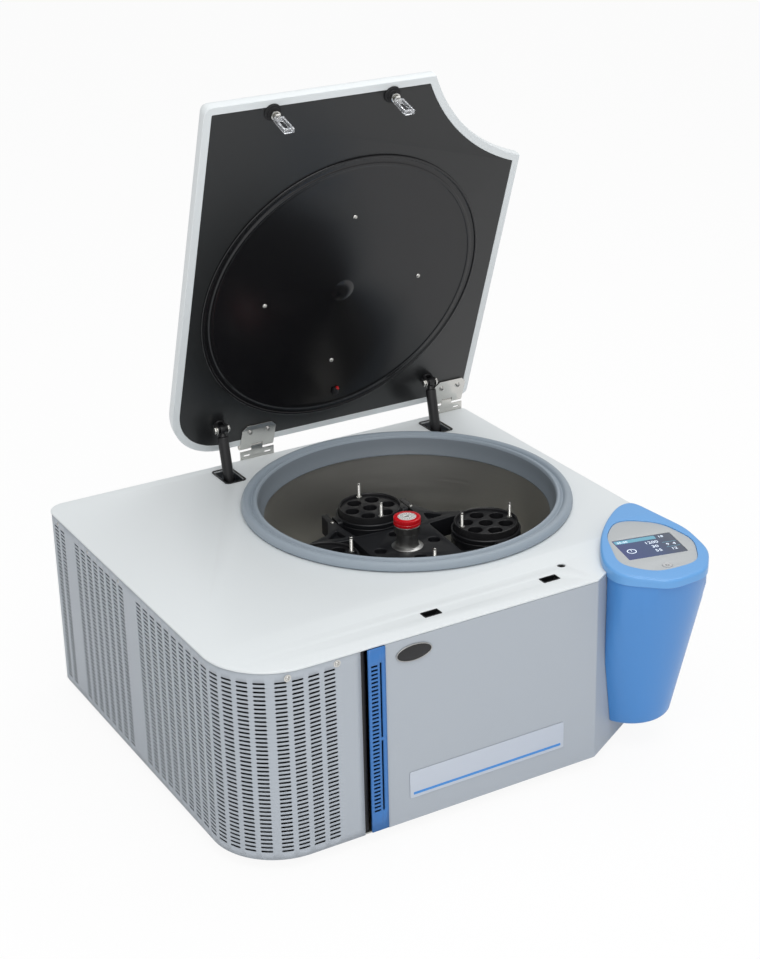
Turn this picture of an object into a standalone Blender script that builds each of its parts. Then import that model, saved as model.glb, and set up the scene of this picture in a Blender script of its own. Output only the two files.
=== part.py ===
"""Bench-top refrigerated centrifuge for butterfat tests, with its lid open.

Every size is in metres.  The machine is modelled in its own frame: x runs
from the left face, y from the front face and z from the panels' lower edge.
An empty then carries it to the object's origin, which is the middle of the
box around the whole open machine, on the bench.

The tubes set the size of the buckets, the buckets that of the rotor and the
chamber, and the chamber and the cooling bay that of the cabinet.
"""

import math

import bmesh
import bpy
import numpy as np
from mathutils import Matrix, Vector

# Sheets and the gap left between pieces that touch
SHEET = 0.0015
DECK_SHEET = 0.003
PAN_SHEET = 0.002
PAN_VENT = 0.030
GAP = 0.0003

# Tubes, buckets and their inserts, measured from the swing axis
TUBE_RADIUS = 0.0108
TUBE_WALL = 0.0069
TUBE_CIRCLE = 2 * TUBE_RADIUS + TUBE_WALL
TUBES_ROUND = 6
INSERT_RADIUS = TUBE_CIRCLE + TUBE_RADIUS + TUBE_WALL
INSERT_RISE = 0.0200
INSERT_FLOOR = 0.0090
POST_RADIUS = 0.0019
POST_RISE = 0.0200
POST_EDGE = 0.0077
BUCKET_WALL = 0.0032
BUCKET_FLOOR = 0.0030
BUCKET_RADIUS = INSERT_RADIUS + 2 * GAP + BUCKET_WALL
BUCKET_DROP = 0.0550
BUCKET_ROUND = 0.0130
BUCKET_RISE = 0.0100
LUG_BOSS = 0.0065
LUG_REACH = BUCKET_RADIUS + LUG_BOSS
LUG_HALF = 0.0120
LUG_DROP = 0.0180
PIN_RADIUS = 0.0050
PIN_LENGTH = 0.0062

# Swing-out rotor
ROTOR_TURN = math.radians(-5.0)
EAR_CLEARANCE = 0.0020
EAR_FACE = LUG_REACH + EAR_CLEARANCE
EAR_WALL = 0.0090
HEAD_CLEARANCE = 0.0075
PIVOT_RADIUS = EAR_FACE + EAR_WALL + BUCKET_RADIUS + HEAD_CLEARANCE
EAR_REACH = PIVOT_RADIUS + 0.025
SWING_ROOM = 0.065
HUB_HALF = PIVOT_RADIUS - SWING_ROOM
BUCKET_REACH = (math.hypot(BUCKET_RADIUS - BUCKET_ROUND, BUCKET_DROP - BUCKET_ROUND)
                + BUCKET_ROUND)

# Motor, shaft and the heights that stand on them
MOTOR_RADIUS = 0.068
MOTOR_FLANGE = 0.100
MOTOR_TOP = 0.0745
FLANGE_SHEET = 0.006
MOUNT_HEIGHT = 0.020
MOUNT_WIDTH = 0.030
MOUNT_WAIST = 0.006
SHAFT_RADIUS = 0.008
SHAFT_LOW = 0.045
BOOT_RADIUS = 0.0195
BOOT_RISE = 0.012
BOWL_FLOOR = MOTOR_TOP + 0.0105
FLOOR_CLEARANCE = 0.030
PIVOT_HEIGHT = BOWL_FLOOR + FLOOR_CLEARANCE + BUCKET_REACH
ROTOR_DROP = 0.021
ROTOR_RISE = 0.008
ROTOR_LOW = PIVOT_HEIGHT - ROTOR_DROP
ROTOR_HIGH = PIVOT_HEIGHT + ROTOR_RISE
STEM_RADIUS = 0.0160
COLLAR_RISE = 0.041
COLLAR_TOP = PIVOT_HEIGHT + COLLAR_RISE
KNOB_RADIUS = 0.0195
KNOB_HEIGHT = 0.0115
KNOB_LIFT = 0.0005
KNOB_TOP = COLLAR_TOP + KNOB_LIFT + KNOB_HEIGHT
LID_CLEARANCE = 0.025
DECK_HEIGHT = KNOB_TOP + LID_CLEARANCE

# Bowl and seal round the swung-out buckets
BOWL_CLEARANCE = 0.0095
BOWL_RADIUS = PIVOT_RADIUS + BUCKET_REACH + BOWL_CLEARANCE
BOWL_CORNER = 0.020
BOWL_BORE = 0.020
SEAL_WIDTH = 0.0275
SEAL_OUTER = BOWL_RADIUS + SEAL_WIDTH
SEAL_HEIGHT = 0.0125
SEAL_OVERLAP = 0.0039
SEAL_LIP = BOWL_RADIUS - SEAL_OVERLAP
SEAL_DEPTH = 0.0135
SEAL_FOOT = 0.0025
DECK_HOLE = BOWL_RADIUS + 0.0185
GUARD_INNER = BOWL_RADIUS + 0.0145
GUARD_WALL = 0.0070
GUARD_LOW = BOWL_FLOOR - 0.025
GUARD_TOP = DECK_HEIGHT - 0.024
GUARD_LEG = 0.0032

# Cabinet round the chamber and the cooling bay on its left
BAY_WIDTH = 0.206
SIDE_MARGIN = 0.024
FRONT_MARGIN = 0.115
BACK_MARGIN = 0.023
BOWL_X = BAY_WIDTH + SEAL_OUTER
BOWL_Y = FRONT_MARGIN + SEAL_OUTER
WIDTH = BOWL_X + SEAL_OUTER + SIDE_MARGIN
DEPTH = BOWL_Y + SEAL_OUTER + BACK_MARGIN
CORNER_FRONT_LEFT = 0.090
CORNER_BACK_LEFT = 0.026
CORNER_SMALL = 0.006
NOSE_LENGTH = 0.177
NOSE_DEPTH = 0.102
NOSE_START = WIDTH - NOSE_LENGTH
NOSE_ANGLE = math.atan2(NOSE_DEPTH, NOSE_LENGTH)
DECK_LOW = DECK_HEIGHT - DECK_SHEET
PANEL_TOP = DECK_LOW - GAP

# Feet, each with its distance from two sides of the cabinet
FOOT_HEIGHT = 0.015
FOOT_RADIUS = 0.016
FOOT_TOP_RADIUS = 0.019
FOOT_LEFT = 0.090
FOOT_RIGHT = 0.092
FOOT_BACK = 0.080
FEET = (("front_left", FOOT_LEFT, 0.110), ("back_left", FOOT_LEFT, DEPTH - FOOT_BACK),
        ("front_right", WIDTH - FOOT_RIGHT, 0.130), ("back_right", WIDTH - FOOT_RIGHT, DEPTH - FOOT_BACK))

# Front face from left to right
GRILLE_END = 0.1665
POST_WIDTH = 0.0085
STRIP_START = GRILLE_END + POST_WIDTH
STRIP_MARGIN = 0.0037
SHORT_WIDTH = 0.0095
STRIP_RIB = 0.0026
TALL_WIDTH = 0.0028
STRIP_EDGE = 0.0054
SHORT_START = STRIP_START + STRIP_MARGIN
TALL_START = SHORT_START + SHORT_WIDTH + STRIP_RIB
STRIP_END = TALL_START + TALL_WIDTH + STRIP_EDGE
PANEL_START = STRIP_END + 0.001
STRIP_SHEET = 0.0030
STRIP_LOW = 0.030
STRIP_HIGH = DECK_HEIGHT - 0.020

# Slots of the wrap-around grille, measured along the panel from its front end
SLOT_LENGTH = 0.0158
SLOT_PITCH = 0.0214
SLOT_GROUPS = ((0.0343, 4), (0.1245, 14), (0.4599, 8))
SLOT_LAST = 0.0815
SLOT_LAST_COUNT = 2
GRILLE_LOW = 0.0120
GRILLE_HIGH = DECK_HEIGHT - 0.0160
GRILLE_ROWS = 5
GRILLE_OPEN_SHARE = 0.55
GRILLE_RETURN = 0.020

# Slots of the right panel and the rear one, with the power inlet and the switch
SIDE_SLOT = 0.045
SIDE_PITCH = 0.060
SIDE_SLOTS = 4
SIDE_START = DEPTH - 0.300
SIDE_ROWS = (0.050, DECK_HEIGHT - 0.052)
REAR_SLOTS = ((0.330, 0.400), (0.470, 0.540))
REAR_ROWS = ((0.130, 0.140), (0.160, 0.170))
INLET = (0.0860, 0.1140, 0.0480, 0.0720)
SWITCH = (0.1500, 0.1700, 0.0480, 0.0720)
INLET_DEPTH = 0.022
INLET_LIP = 0.0015
INLET_WALL = 0.003
SWITCH_WALL = 0.0025
ROCKER_RADIUS = 0.0105
ROCKER_HALF = 0.0068
ROCKER_AXIS = 0.0055

# Lid, modelled closed about its hinge axis: -y runs to the front, z is up
HINGE_Y = DEPTH + 0.0048
HINGE_Z = DECK_HEIGHT + 0.0185
LID_OPEN = math.radians(70.4)
LID_LEFT = BOWL_X - 0.247
LID_RIGHT = WIDTH + 0.005
LID_BACK = 0.0055
LID_FRONT = HINGE_Y - 0.0178
LID_FACE = -0.0025
LID_THICKNESS = 0.026
LID_WALL = 0.003
LID_ROUND = 0.008
LID_CORNER_BACK = 0.085
LID_CORNER_FRONT = 0.012
LID_CORNER_SMALL = 0.009
LID_RIM = 0.011
LINER_SHEET = 0.003
LID_TOP = LID_FACE + LID_THICKNESS
ARC_X = WIDTH + 0.098
ARC_Y = -0.105
ARC_LID = 0.288
ARC_POD = ARC_LID - 0.005
BEAD_OUTER = BOWL_RADIUS + 0.016
BEAD_WIDTH = 0.0035
BEAD_FACE = -0.0055
GROOVE = 0.0075
PLATE_SHEET = 0.0020

# Hinges, from left to right
HINGE_XS = (BOWL_X - 0.1045, BOWL_X + 0.2240)
HINGE_WIDTH = 0.055
KNUCKLE = 0.0045
PIN = 0.0021
LEAF = 0.0017
LEAF_REACH = 0.0415
LEAF_TOP = DECK_HEIGHT + 0.012
LEAF_DROP = 0.030

# Gas struts, from left to right, with their lower pins' place below the hinge axis
STRUT_XS = (BOWL_X - 0.1725, BOWL_X + 0.1774)
STRUT_EYE_U = 0.0565
STRUT_EYE_V = -0.0140
STRUT_FOOT_Y = HINGE_Y - 0.0714
STRUT_FOOT_Z = HINGE_Z - 0.1305
STRUT_RADIUS = 0.0078
ROD_RADIUS = 0.0035
EYE_RADIUS = 0.0065
EYE_HALF = 0.0035
STUD_RADIUS = 0.0030
STUD_FOOT = 0.0085
STRUT_TUBE = 0.0980
ROD_LENGTH = 0.1000
SLOT_STRUT_X = 0.0285
SLOT_STRUT_Y0 = HINGE_Y - 0.0728
SLOT_STRUT_Y1 = HINGE_Y - 0.0228
BRACKET_HALF = 0.022
BRACKET_SHEET = 0.003

# Latches, from left to right
LATCH_XS = (BOWL_X - 0.1500, BOWL_X + 0.0270)
LATCH_Y = 0.0360
LATCH_SLOT_X = 0.0250
LATCH_SLOT_Y = 0.0140
LOOP_TIP = 0.0520
LOOP_WIDTH = 0.0150
LOOP_SHEET = 0.0055
LOOP_BAR = 0.0035
LOOP_SIDE = 0.0030
GROMMET_RADIUS = 0.0120
GROMMET_HEIGHT = 0.0035
RELEASE_HOLE = (BOWL_X + 0.0619, LATCH_Y + 0.0238, 0.0055)
PAWL_RADIUS = 0.0030
PAWL_LENGTH = 0.030
PAWL_START = LATCH_Y + 0.0115
PAWL_TRAVEL = 0.017
LOCK_LOW = DECK_HEIGHT - 0.0405
LOCK_HALF = 0.017
LOCK_FRONT = 0.017
LOCK_BACK = 0.054
LOCK_BAR = (0.034, 0.046)

# Control pod on the cut-off corner, in plan and by height from the deck's top
POD_X = WIDTH - 0.086
POD_Y = 0.047
POD_RADIUS = 0.103
POD_FOOT_RADIUS = 0.054
POD_FOOT = 0.028
POD_TUCK = 0.002
POD_WALL = 0.003
POD_FRONT = -0.0634
CAP_SEAM = 0.006
CAP_RISE = 0.020
CAP_ROUND = 0.005
CAP_RIGHT = WIDTH - 0.003
CAP_WALL = 0.004
CAP_CORNERS = ((0.000, 0.146, 0.008), (0.000, 0.018, 0.030), (-0.024, -0.042, 0.050),
               (-0.055, -0.0665, 0.022), (-0.117, -0.0425, 0.045), (-0.144, -0.018, 0.020))
FASCIA_CORNERS = ((-0.150, -0.015, 0.030), (-0.121, -0.060, 0.030), (-0.057, -0.0625, 0.022),
                  (-0.021, -0.005, 0.050), (-0.027, 0.062, 0.040), (-0.073, 0.103, 0.022),
                  (-0.114, 0.064, 0.030))
FASCIA_DEPTH = 0.0018
FASCIA_SHEET = 0.0022
SCREEN_X = WIDTH - 0.085
SCREEN_Y = 0.0111
SCREEN_WIDTH = 0.0835
SCREEN_HEIGHT = 0.0615
SCREEN_TURN = math.radians(-12.5)
SCREEN_SHEET = 0.0016
BUTTON_X = WIDTH - 0.100
BUTTON_Y = -0.048
BUTTON_RADIUS = 0.0068
BUTTON_DEPTH = 0.0038
BUTTON_TRAVEL = 0.0015
BUTTON_RISE = 0.0010

# Name plate on the front panel
PLATE_LOW = (PANEL_START + 0.0310, 0.0320)
PLATE_HIGH = (PANEL_START + 0.2640, 0.0700)
PLATE_THICK = 0.0008

# Cooling set in the left bay
CONDENSER_X = 0.020
CONDENSER_THICKNESS = 0.034
CONDENSER_TOP = DECK_HEIGHT - 0.037
CONDENSER_TUBE = 0.0045
CONDENSER_ROWS = (0.045, 0.120, 0.195)
FAN_Y = 0.235
FAN_Z = 0.128
FAN_RADIUS = 0.082
FAN_BLADES = 5
SHROUD_X = CONDENSER_X + CONDENSER_THICKNESS + 0.006
SHROUD_HALF = FAN_RADIUS + 0.014
SHROUD_DEPTH = 0.036
DRUM_RADIUS = 0.026
COMPRESSOR_X = 0.098
COMPRESSOR_Y = DEPTH - 0.130
COMPRESSOR_CAN = ((0.0, 0.172), (0.022, 0.170), (0.042, 0.160), (0.054, 0.142), (0.057, 0.120),
                  (0.057, 0.096), (0.059, 0.094), (0.059, 0.088), (0.057, 0.086), (0.057, 0.045),
                  (0.050, 0.028), (0.0, 0.024))
COMPRESSOR_SOLE = 0.062
COMPRESSOR_FOOT = 0.050
BOARD = (0.085, 0.187, 0.130)
BOARD_Y = 0.040
BOARD_SHEET = 0.0016
RELAY = (0.022, 0.0164, 0.018)
RELAY_XS = (0.095, 0.125, 0.155)
RELAY_ZS = (0.040, 0.090)

LID_REAR = (HINGE_Y - (LID_BACK + LID_ROUND) * math.cos(LID_OPEN)
            + (LID_TOP - LID_ROUND) * math.sin(LID_OPEN) + LID_ROUND)
MIDDLE_X = LID_RIGHT / 2
MIDDLE_Y = (POD_FRONT + LID_REAR) / 2

PAINT_WHITE = ("white_paint", (0.78, 0.80, 0.80), 0.35, 0.0)
PAINT_GREY = ("grey_paint", (0.46, 0.48, 0.53), 0.45, 0.0)
PLASTIC_GLOSS = ("gloss_black_plastic", (0.018, 0.018, 0.020), 0.15, 0.0)
PLASTIC_BLACK = ("black_plastic", (0.015, 0.015, 0.017), 0.45, 0.0)
PLASTIC_BLUE = ("blue_plastic", (0.09, 0.30, 0.66), 0.35, 0.0)
PLASTIC_PALE_BLUE = ("pale_blue_plastic", (0.16, 0.42, 0.82), 0.35, 0.0)
PLASTIC_PALE = ("pale_grey_plastic", (0.55, 0.56, 0.56), 0.45, 0.0)
PLASTIC_RED = ("red_plastic", (0.62, 0.02, 0.02), 0.30, 0.0)
PLASTIC_CLEAR = ("clear_plastic", (0.70, 0.72, 0.78), 0.15, 0.0)
GLASS_DARK = ("display_glass", (0.05, 0.08, 0.20), 0.10, 0.0)
RUBBER_SEAL = ("seal_rubber", (0.26, 0.30, 0.36), 0.55, 0.0)
RUBBER_BLACK = ("black_rubber", (0.02, 0.02, 0.02), 0.80, 0.0)
STEEL = ("stainless_steel", (0.55, 0.55, 0.54), 0.28, 1.0)
STEEL_DARK = ("dark_steel", (0.10, 0.10, 0.11), 0.40, 0.8)
ZINC = ("zinc_plate", (0.62, 0.62, 0.60), 0.40, 1.0)
ALUMINIUM = ("aluminium", (0.68, 0.68, 0.69), 0.38, 1.0)
ROTOR_COAT = ("rotor_coating", (0.022, 0.022, 0.024), 0.42, 0.1)
BOARD_GREEN = ("board_green", (0.02, 0.16, 0.07), 0.50, 0.0)

SIDES = ("left", "right")
PARTS = "butterfat_centrifuge"
CUTTERS = "cutters"


def clear_scene():
    for item in list(bpy.data.objects):
        bpy.data.objects.remove(item, do_unlink=True)


def collection(name):
    found = bpy.data.collections.get(name)
    if found is None:
        found = bpy.data.collections.new(name)
        bpy.context.scene.collection.children.link(found)
    return found


def material(finish):
    name, colour, roughness, metallic = finish
    found = bpy.data.materials.get(name)
    if found is None:
        found = bpy.data.materials.new(name)
        found.use_nodes = True
        shader = found.node_tree.nodes["Principled BSDF"]
        shader.inputs["Base Color"].default_value = (*colour, 1.0)
        shader.inputs["Roughness"].default_value = roughness
        shader.inputs["Metallic"].default_value = metallic
    return found


def empty(name, location, rotation=(0, 0, 0), parent=None):
    item = bpy.data.objects.new(name, None)
    item.location = location
    item.rotation_euler = rotation
    item.parent = parent
    collection(PARTS).objects.link(item)
    return item


def place(name, mesh, finish, parent, location=(0, 0, 0), rotation=(0, 0, 0), smooth=False):
    """Link a finished mesh as one named sub-part under its parent."""
    mesh.name = name
    item = bpy.data.objects.new(name, mesh)
    item.location = location
    item.rotation_euler = rotation
    item.parent = parent
    collection(PARTS).objects.link(item)
    if not mesh.materials:
        mesh.materials.append(material(finish))
    if smooth:
        mesh.shade_smooth()
        mesh.set_sharp_from_angle(angle=math.radians(35))
    return item


def evaluated_mesh(item):
    """The mesh that an object's modifiers make, in the object's own space."""
    bpy.context.view_layer.update()
    graph = bpy.context.evaluated_depsgraph_get()
    return bpy.data.meshes.new_from_object(item.evaluated_get(graph))


def welded(mesh, distance=0.00001):
    bm = bmesh.new()
    bm.from_mesh(mesh)
    bmesh.ops.remove_doubles(bm, verts=bm.verts, dist=distance)
    bm.to_mesh(mesh)
    bm.free()
    return mesh


def moved(mesh, x=0.0, y=0.0, z=0.0):
    mesh.transform(Matrix.Translation((x, y, z)))
    return mesh


def turned_to(mesh, angle, axis):
    mesh.transform(Matrix.Rotation(angle, 4, axis))
    return mesh


def joined(*meshes):
    """Put several closed bodies in one mesh, without uniting them."""
    bm = bmesh.new()
    for mesh in meshes:
        bm.from_mesh(mesh)
    result = bpy.data.meshes.new("joined")
    bm.to_mesh(result)
    bm.free()
    return result


def combined(mesh, cutter, operation="DIFFERENCE"):
    """Cut or unite two closed meshes with an exact Boolean modifier."""
    base = bpy.data.objects.new("base", mesh)
    tool = bpy.data.objects.new("tool", cutter)
    for item in (base, tool):
        collection(CUTTERS).objects.link(item)
        item.hide_render = True
    modifier = base.modifiers.new("cut", "BOOLEAN")
    modifier.operation = operation
    modifier.object = tool
    modifier.solver = "EXACT"
    result = evaluated_mesh(base)
    for item in (base, tool):
        bpy.data.objects.remove(item, do_unlink=True)
    return result


def arc(x, y, radius, start, end, steps):
    """Points of an arc from one angle in degrees to another."""
    angles = np.radians(np.linspace(start, end, steps + 1))
    return [(x + radius * math.cos(a), y + radius * math.sin(a)) for a in angles]


def circle(x, y, radius, steps):
    return arc(x, y, radius, 0.0, 360.0, steps)[:-1]


def fillet(before, here, after, radius, steps):
    """Points of the rounding between two straight runs that meet at a corner."""
    here = Vector(here)
    if radius <= 0:
        return [tuple(here)]
    to_before = (Vector(before) - here).normalized()
    to_after = (Vector(after) - here).normalized()
    half = to_before.angle(to_after) / 2
    middle = here + (to_before + to_after).normalized() * (radius / math.sin(half))
    start = here + to_before * (radius / math.tan(half)) - middle
    end = here + to_after * (radius / math.tan(half)) - middle
    turn = start.angle_signed(end)
    return [tuple(middle + Matrix.Rotation(-turn * step / steps, 2) @ start)
            for step in range(steps + 1)]


def rounded(corners, steps=4):
    """Closed outline of straight runs, each corner given as x, y, radius."""
    points = []
    count = len(corners)
    for index, (x, y, radius) in enumerate(corners):
        points += fillet(corners[index - 1][:2], (x, y), corners[(index + 1) % count][:2],
                         radius, steps)
    return points


def rectangle(x0, y0, x1, y1, radius=0.0, steps=3):
    return rounded([(x0, y0, radius), (x1, y0, radius), (x1, y1, radius), (x0, y1, radius)], steps)


def plate(outline, low, high, holes=()):
    """Flat outline with holes as a 2D curve, given its thickness along z."""
    curve = bpy.data.curves.new("outline", "CURVE")
    curve.dimensions = "2D"
    curve.fill_mode = "BOTH"
    curve.extrude = (high - low) / 2
    for loop in (outline, *holes):
        spline = curve.splines.new("POLY")
        spline.points.add(len(loop) - 1)
        for point, (x, y) in zip(spline.points, loop):
            point.co = (x, y, 0.0, 1.0)
        spline.use_cyclic_u = True
    item = bpy.data.objects.new("outline", curve)
    collection(CUTTERS).objects.link(item)
    mesh = evaluated_mesh(item)
    bpy.data.objects.remove(item, do_unlink=True)
    bpy.data.curves.remove(curve)
    return moved(welded(mesh), z=(low + high) / 2)


def turned(profile, steps, closed=True):
    """Turn a profile of (radius, z) points about z with a Screw modifier."""
    mesh = bpy.data.meshes.new("profile")
    points = [(radius, 0.0, z) for radius, z in profile]
    area = sum(a[0] * b[2] - b[0] * a[2] for a, b in zip(points, points[1:] + points[:1]))
    if area > 0:
        points.reverse()
    edges = [(i, i + 1) for i in range(len(points) - 1)]
    if closed:
        edges.append((len(points) - 1, 0))
    mesh.from_pydata(points, edges, [])
    item = bpy.data.objects.new("profile", mesh)
    collection(CUTTERS).objects.link(item)
    screw = item.modifiers.new("turn", "SCREW")
    screw.angle = math.tau
    screw.steps = steps
    screw.render_steps = steps
    screw.use_merge_vertices = True
    screw.merge_threshold = 0.00001
    result = welded(evaluated_mesh(item))
    bpy.data.objects.remove(item, do_unlink=True)
    return result


def cylinder(radius, low, high, steps=24, top=None):
    """Upright cylinder or cone frustum."""
    bm = bmesh.new()
    bmesh.ops.create_cone(bm, cap_ends=True, segments=steps, radius1=radius,
                          radius2=radius if top is None else top, depth=high - low)
    mesh = bpy.data.meshes.new("cylinder")
    bm.to_mesh(mesh)
    bm.free()
    return moved(mesh, z=(low + high) / 2)


def rod_x(radius, x0, x1, y, z, steps=16):
    mesh = turned_to(cylinder(radius, x0, x1, steps), math.pi / 2, "Y")
    return moved(mesh, y=y, z=z)


def rod_y(radius, y0, y1, x, z, steps=16):
    mesh = turned_to(cylinder(radius, y0, y1, steps), -math.pi / 2, "X")
    return moved(mesh, x=x, z=z)


def box(x0, y0, z0, x1, y1, z1, bevel=0.0, steps=2):
    bm = bmesh.new()
    bmesh.ops.create_cube(bm, size=1.0)
    bmesh.ops.scale(bm, vec=(x1 - x0, y1 - y0, z1 - z0), verts=bm.verts)
    bmesh.ops.translate(bm, vec=((x0 + x1) / 2, (y0 + y1) / 2, (z0 + z1) / 2), verts=bm.verts)
    if bevel > 0:
        bmesh.ops.bevel(bm, geom=list(bm.edges), offset=bevel, segments=steps, affect="EDGES")
    mesh = bpy.data.meshes.new("box")
    bm.to_mesh(mesh)
    bm.free()
    return mesh


def bent_sheet(path, low, high, thickness):
    """Upright sheet that follows a plan path, thickness to the path's left."""
    mesh = bpy.data.meshes.new("sheet")
    count = len(path)
    verts = [(x, y, z) for z in (low, high) for x, y in path]
    faces = [(i, i + 1, count + i + 1, count + i) for i in range(count - 1)]
    mesh.from_pydata(verts, [], faces)
    return thickened(mesh, thickness)


def thickened(mesh, thickness):
    """Solidify an open surface to one side."""
    item = bpy.data.objects.new("surface", mesh)
    collection(CUTTERS).objects.link(item)
    solid = item.modifiers.new("wall", "SOLIDIFY")
    solid.thickness = thickness
    solid.offset = -1.0
    solid.use_even_offset = True
    result = evaluated_mesh(item)
    bpy.data.objects.remove(item, do_unlink=True)
    return result


def slotted_sheet(place_point, along, upward, is_slot, thickness):
    """Sheet from a grid of lines, with the cells of its slots left open."""
    bm = bmesh.new()
    grid = [[bm.verts.new(place_point(s, z)) for s in along] for z in upward]
    for row in range(len(upward) - 1):
        for column in range(len(along) - 1):
            s = (along[column] + along[column + 1]) / 2
            z = (upward[row] + upward[row + 1]) / 2
            if is_slot(s, z):
                continue
            bm.faces.new((grid[row][column], grid[row][column + 1],
                          grid[row + 1][column + 1], grid[row + 1][column]))
    for vert in [v for v in bm.verts if not v.link_faces]:
        bm.verts.remove(vert)
    mesh = bpy.data.meshes.new("slotted")
    bm.to_mesh(mesh)
    bm.free()
    return thickened(mesh, thickness)


def cabinet_outline(inset=0.0):
    """Plan of the cabinet: round front-left corner, cut-off front-right one."""
    nose = inset * math.tan(NOSE_ANGLE / 2)
    side = inset / math.tan((math.pi / 2 + NOSE_ANGLE) / 2)
    return rounded([
        (inset, inset, CORNER_FRONT_LEFT - inset),
        (NOSE_START - nose, inset, CORNER_SMALL),
        (WIDTH - inset, NOSE_DEPTH + side, CORNER_SMALL),
        (WIDTH - inset, DEPTH - inset, CORNER_SMALL),
        (inset, DEPTH - inset, CORNER_BACK_LEFT - inset),
    ], 6)


def grille_point(s, z):
    """Point on the grille's outer face, s along it from the front end."""
    flat = GRILLE_END - CORNER_FRONT_LEFT
    first = CORNER_FRONT_LEFT * math.pi / 2
    side = DEPTH - CORNER_FRONT_LEFT - CORNER_BACK_LEFT
    if s < flat:
        return (GRILLE_END - s, 0.0, z)
    s -= flat
    if s < first:
        turn = s / CORNER_FRONT_LEFT
        return (CORNER_FRONT_LEFT * (1 - math.sin(turn)), CORNER_FRONT_LEFT * (1 - math.cos(turn)), z)
    s -= first
    if s < side:
        return (0.0, CORNER_FRONT_LEFT + s, z)
    turn = min((s - side) / CORNER_BACK_LEFT, math.pi / 2)
    past = max(s - side - CORNER_BACK_LEFT * math.pi / 2, 0.0)
    return (CORNER_BACK_LEFT * (1 - math.cos(turn)) + past,
            DEPTH - CORNER_BACK_LEFT * (1 - math.sin(turn)), z)


def grille_length():
    return (GRILLE_END - CORNER_FRONT_LEFT + CORNER_FRONT_LEFT * math.pi / 2
            + DEPTH - CORNER_FRONT_LEFT - CORNER_BACK_LEFT + CORNER_BACK_LEFT * math.pi / 2)


def slot_starts():
    """Where each column of slots starts, the last group counted back from the rear corner."""
    last = grille_length() - SLOT_LAST
    starts = [first + SLOT_PITCH * i for first, count in SLOT_GROUPS for i in range(count)]
    starts = [s for s in starts if s + SLOT_PITCH < last]
    return starts + [last + SLOT_PITCH * i for i in range(SLOT_LAST_COUNT)]


def slot_rows(low, high, rows, share):
    """Lower and upper edge of each of a column's slots."""
    pitch = (high - low) / rows
    return [(low + pitch * i, low + pitch * (i + share)) for i in range(rows)]


def spread(edges, step):
    """Grid lines at the given places, with more where they lie far apart."""
    lines = []
    for a, b in zip(edges[:-1], edges[1:]):
        count = max(1, math.ceil((b - a) / step))
        lines += [a + (b - a) * i / count for i in range(count)]
    return lines + [edges[-1]]


def build_base(cab):
    """Base pan, feet, grille, panels and the deck."""
    pan_inset = SHEET + 2 * GAP
    floor = plate(cabinet_outline(pan_inset), 0.0, PAN_SHEET, [circle(BOWL_X, BOWL_Y, PAN_VENT, 20)])
    place("base_pan", floor, ZINC, cab)
    for name, x, y in FEET:
        foot = cylinder(FOOT_RADIUS, -FOOT_HEIGHT, -GAP, 20, top=FOOT_TOP_RADIUS)
        place(f"foot_{name}", foot, RUBBER_BLACK, cab, (x, y, 0.0), smooth=True)

    starts = slot_starts()
    stops = [0.0] + [s for start in starts for s in (start, start + SLOT_LENGTH)]
    corner = CORNER_BACK_LEFT * math.pi / 2
    stops += [grille_length() - corner * i / 4 for i in (4, 3, 2, 1, 0)]
    stops.append(grille_length() + GRILLE_RETURN)
    rows = slot_rows(GRILLE_LOW, GRILLE_HIGH, GRILLE_ROWS, GRILLE_OPEN_SHARE)
    heights = [0.0] + [z for row in rows for z in row] + [PANEL_TOP]

    def in_slot(s, z):
        return (any(a < s < a + SLOT_LENGTH for a in starts)
                and any(a < z < b for a, b in rows))

    along = spread(stops, 0.028)
    along.reverse()
    grille = slotted_sheet(grille_point, along, heights, in_slot, SHEET)
    place("side_grille", grille, PAINT_GREY, cab)


def build_strip(cab):
    """Blue vent strip beside the grille's front end."""
    rows = slot_rows(STRIP_LOW, STRIP_HIGH, 8, 0.5)
    short = (SHORT_START, SHORT_START + SHORT_WIDTH)
    tall = (TALL_START, TALL_START + TALL_WIDTH)
    tall_runs = ((STRIP_LOW, rows[3][1]), (rows[4][0], rows[7][1]))
    along = [STRIP_START, *short, *tall, STRIP_END]
    upward = [PAN_SHEET + GAP] + [z for row in rows for z in row] + [PANEL_TOP]

    def in_slot(s, z):
        if short[0] < s < short[1]:
            return any(a < z < b for a, b in rows)
        return tall[0] < s < tall[1] and any(a < z < b for a, b in tall_runs)

    strip = slotted_sheet(lambda s, z: (s, 0.0, z), along, upward, in_slot, STRIP_SHEET)
    place("vent_strip", strip, PLASTIC_BLUE, cab)


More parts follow.
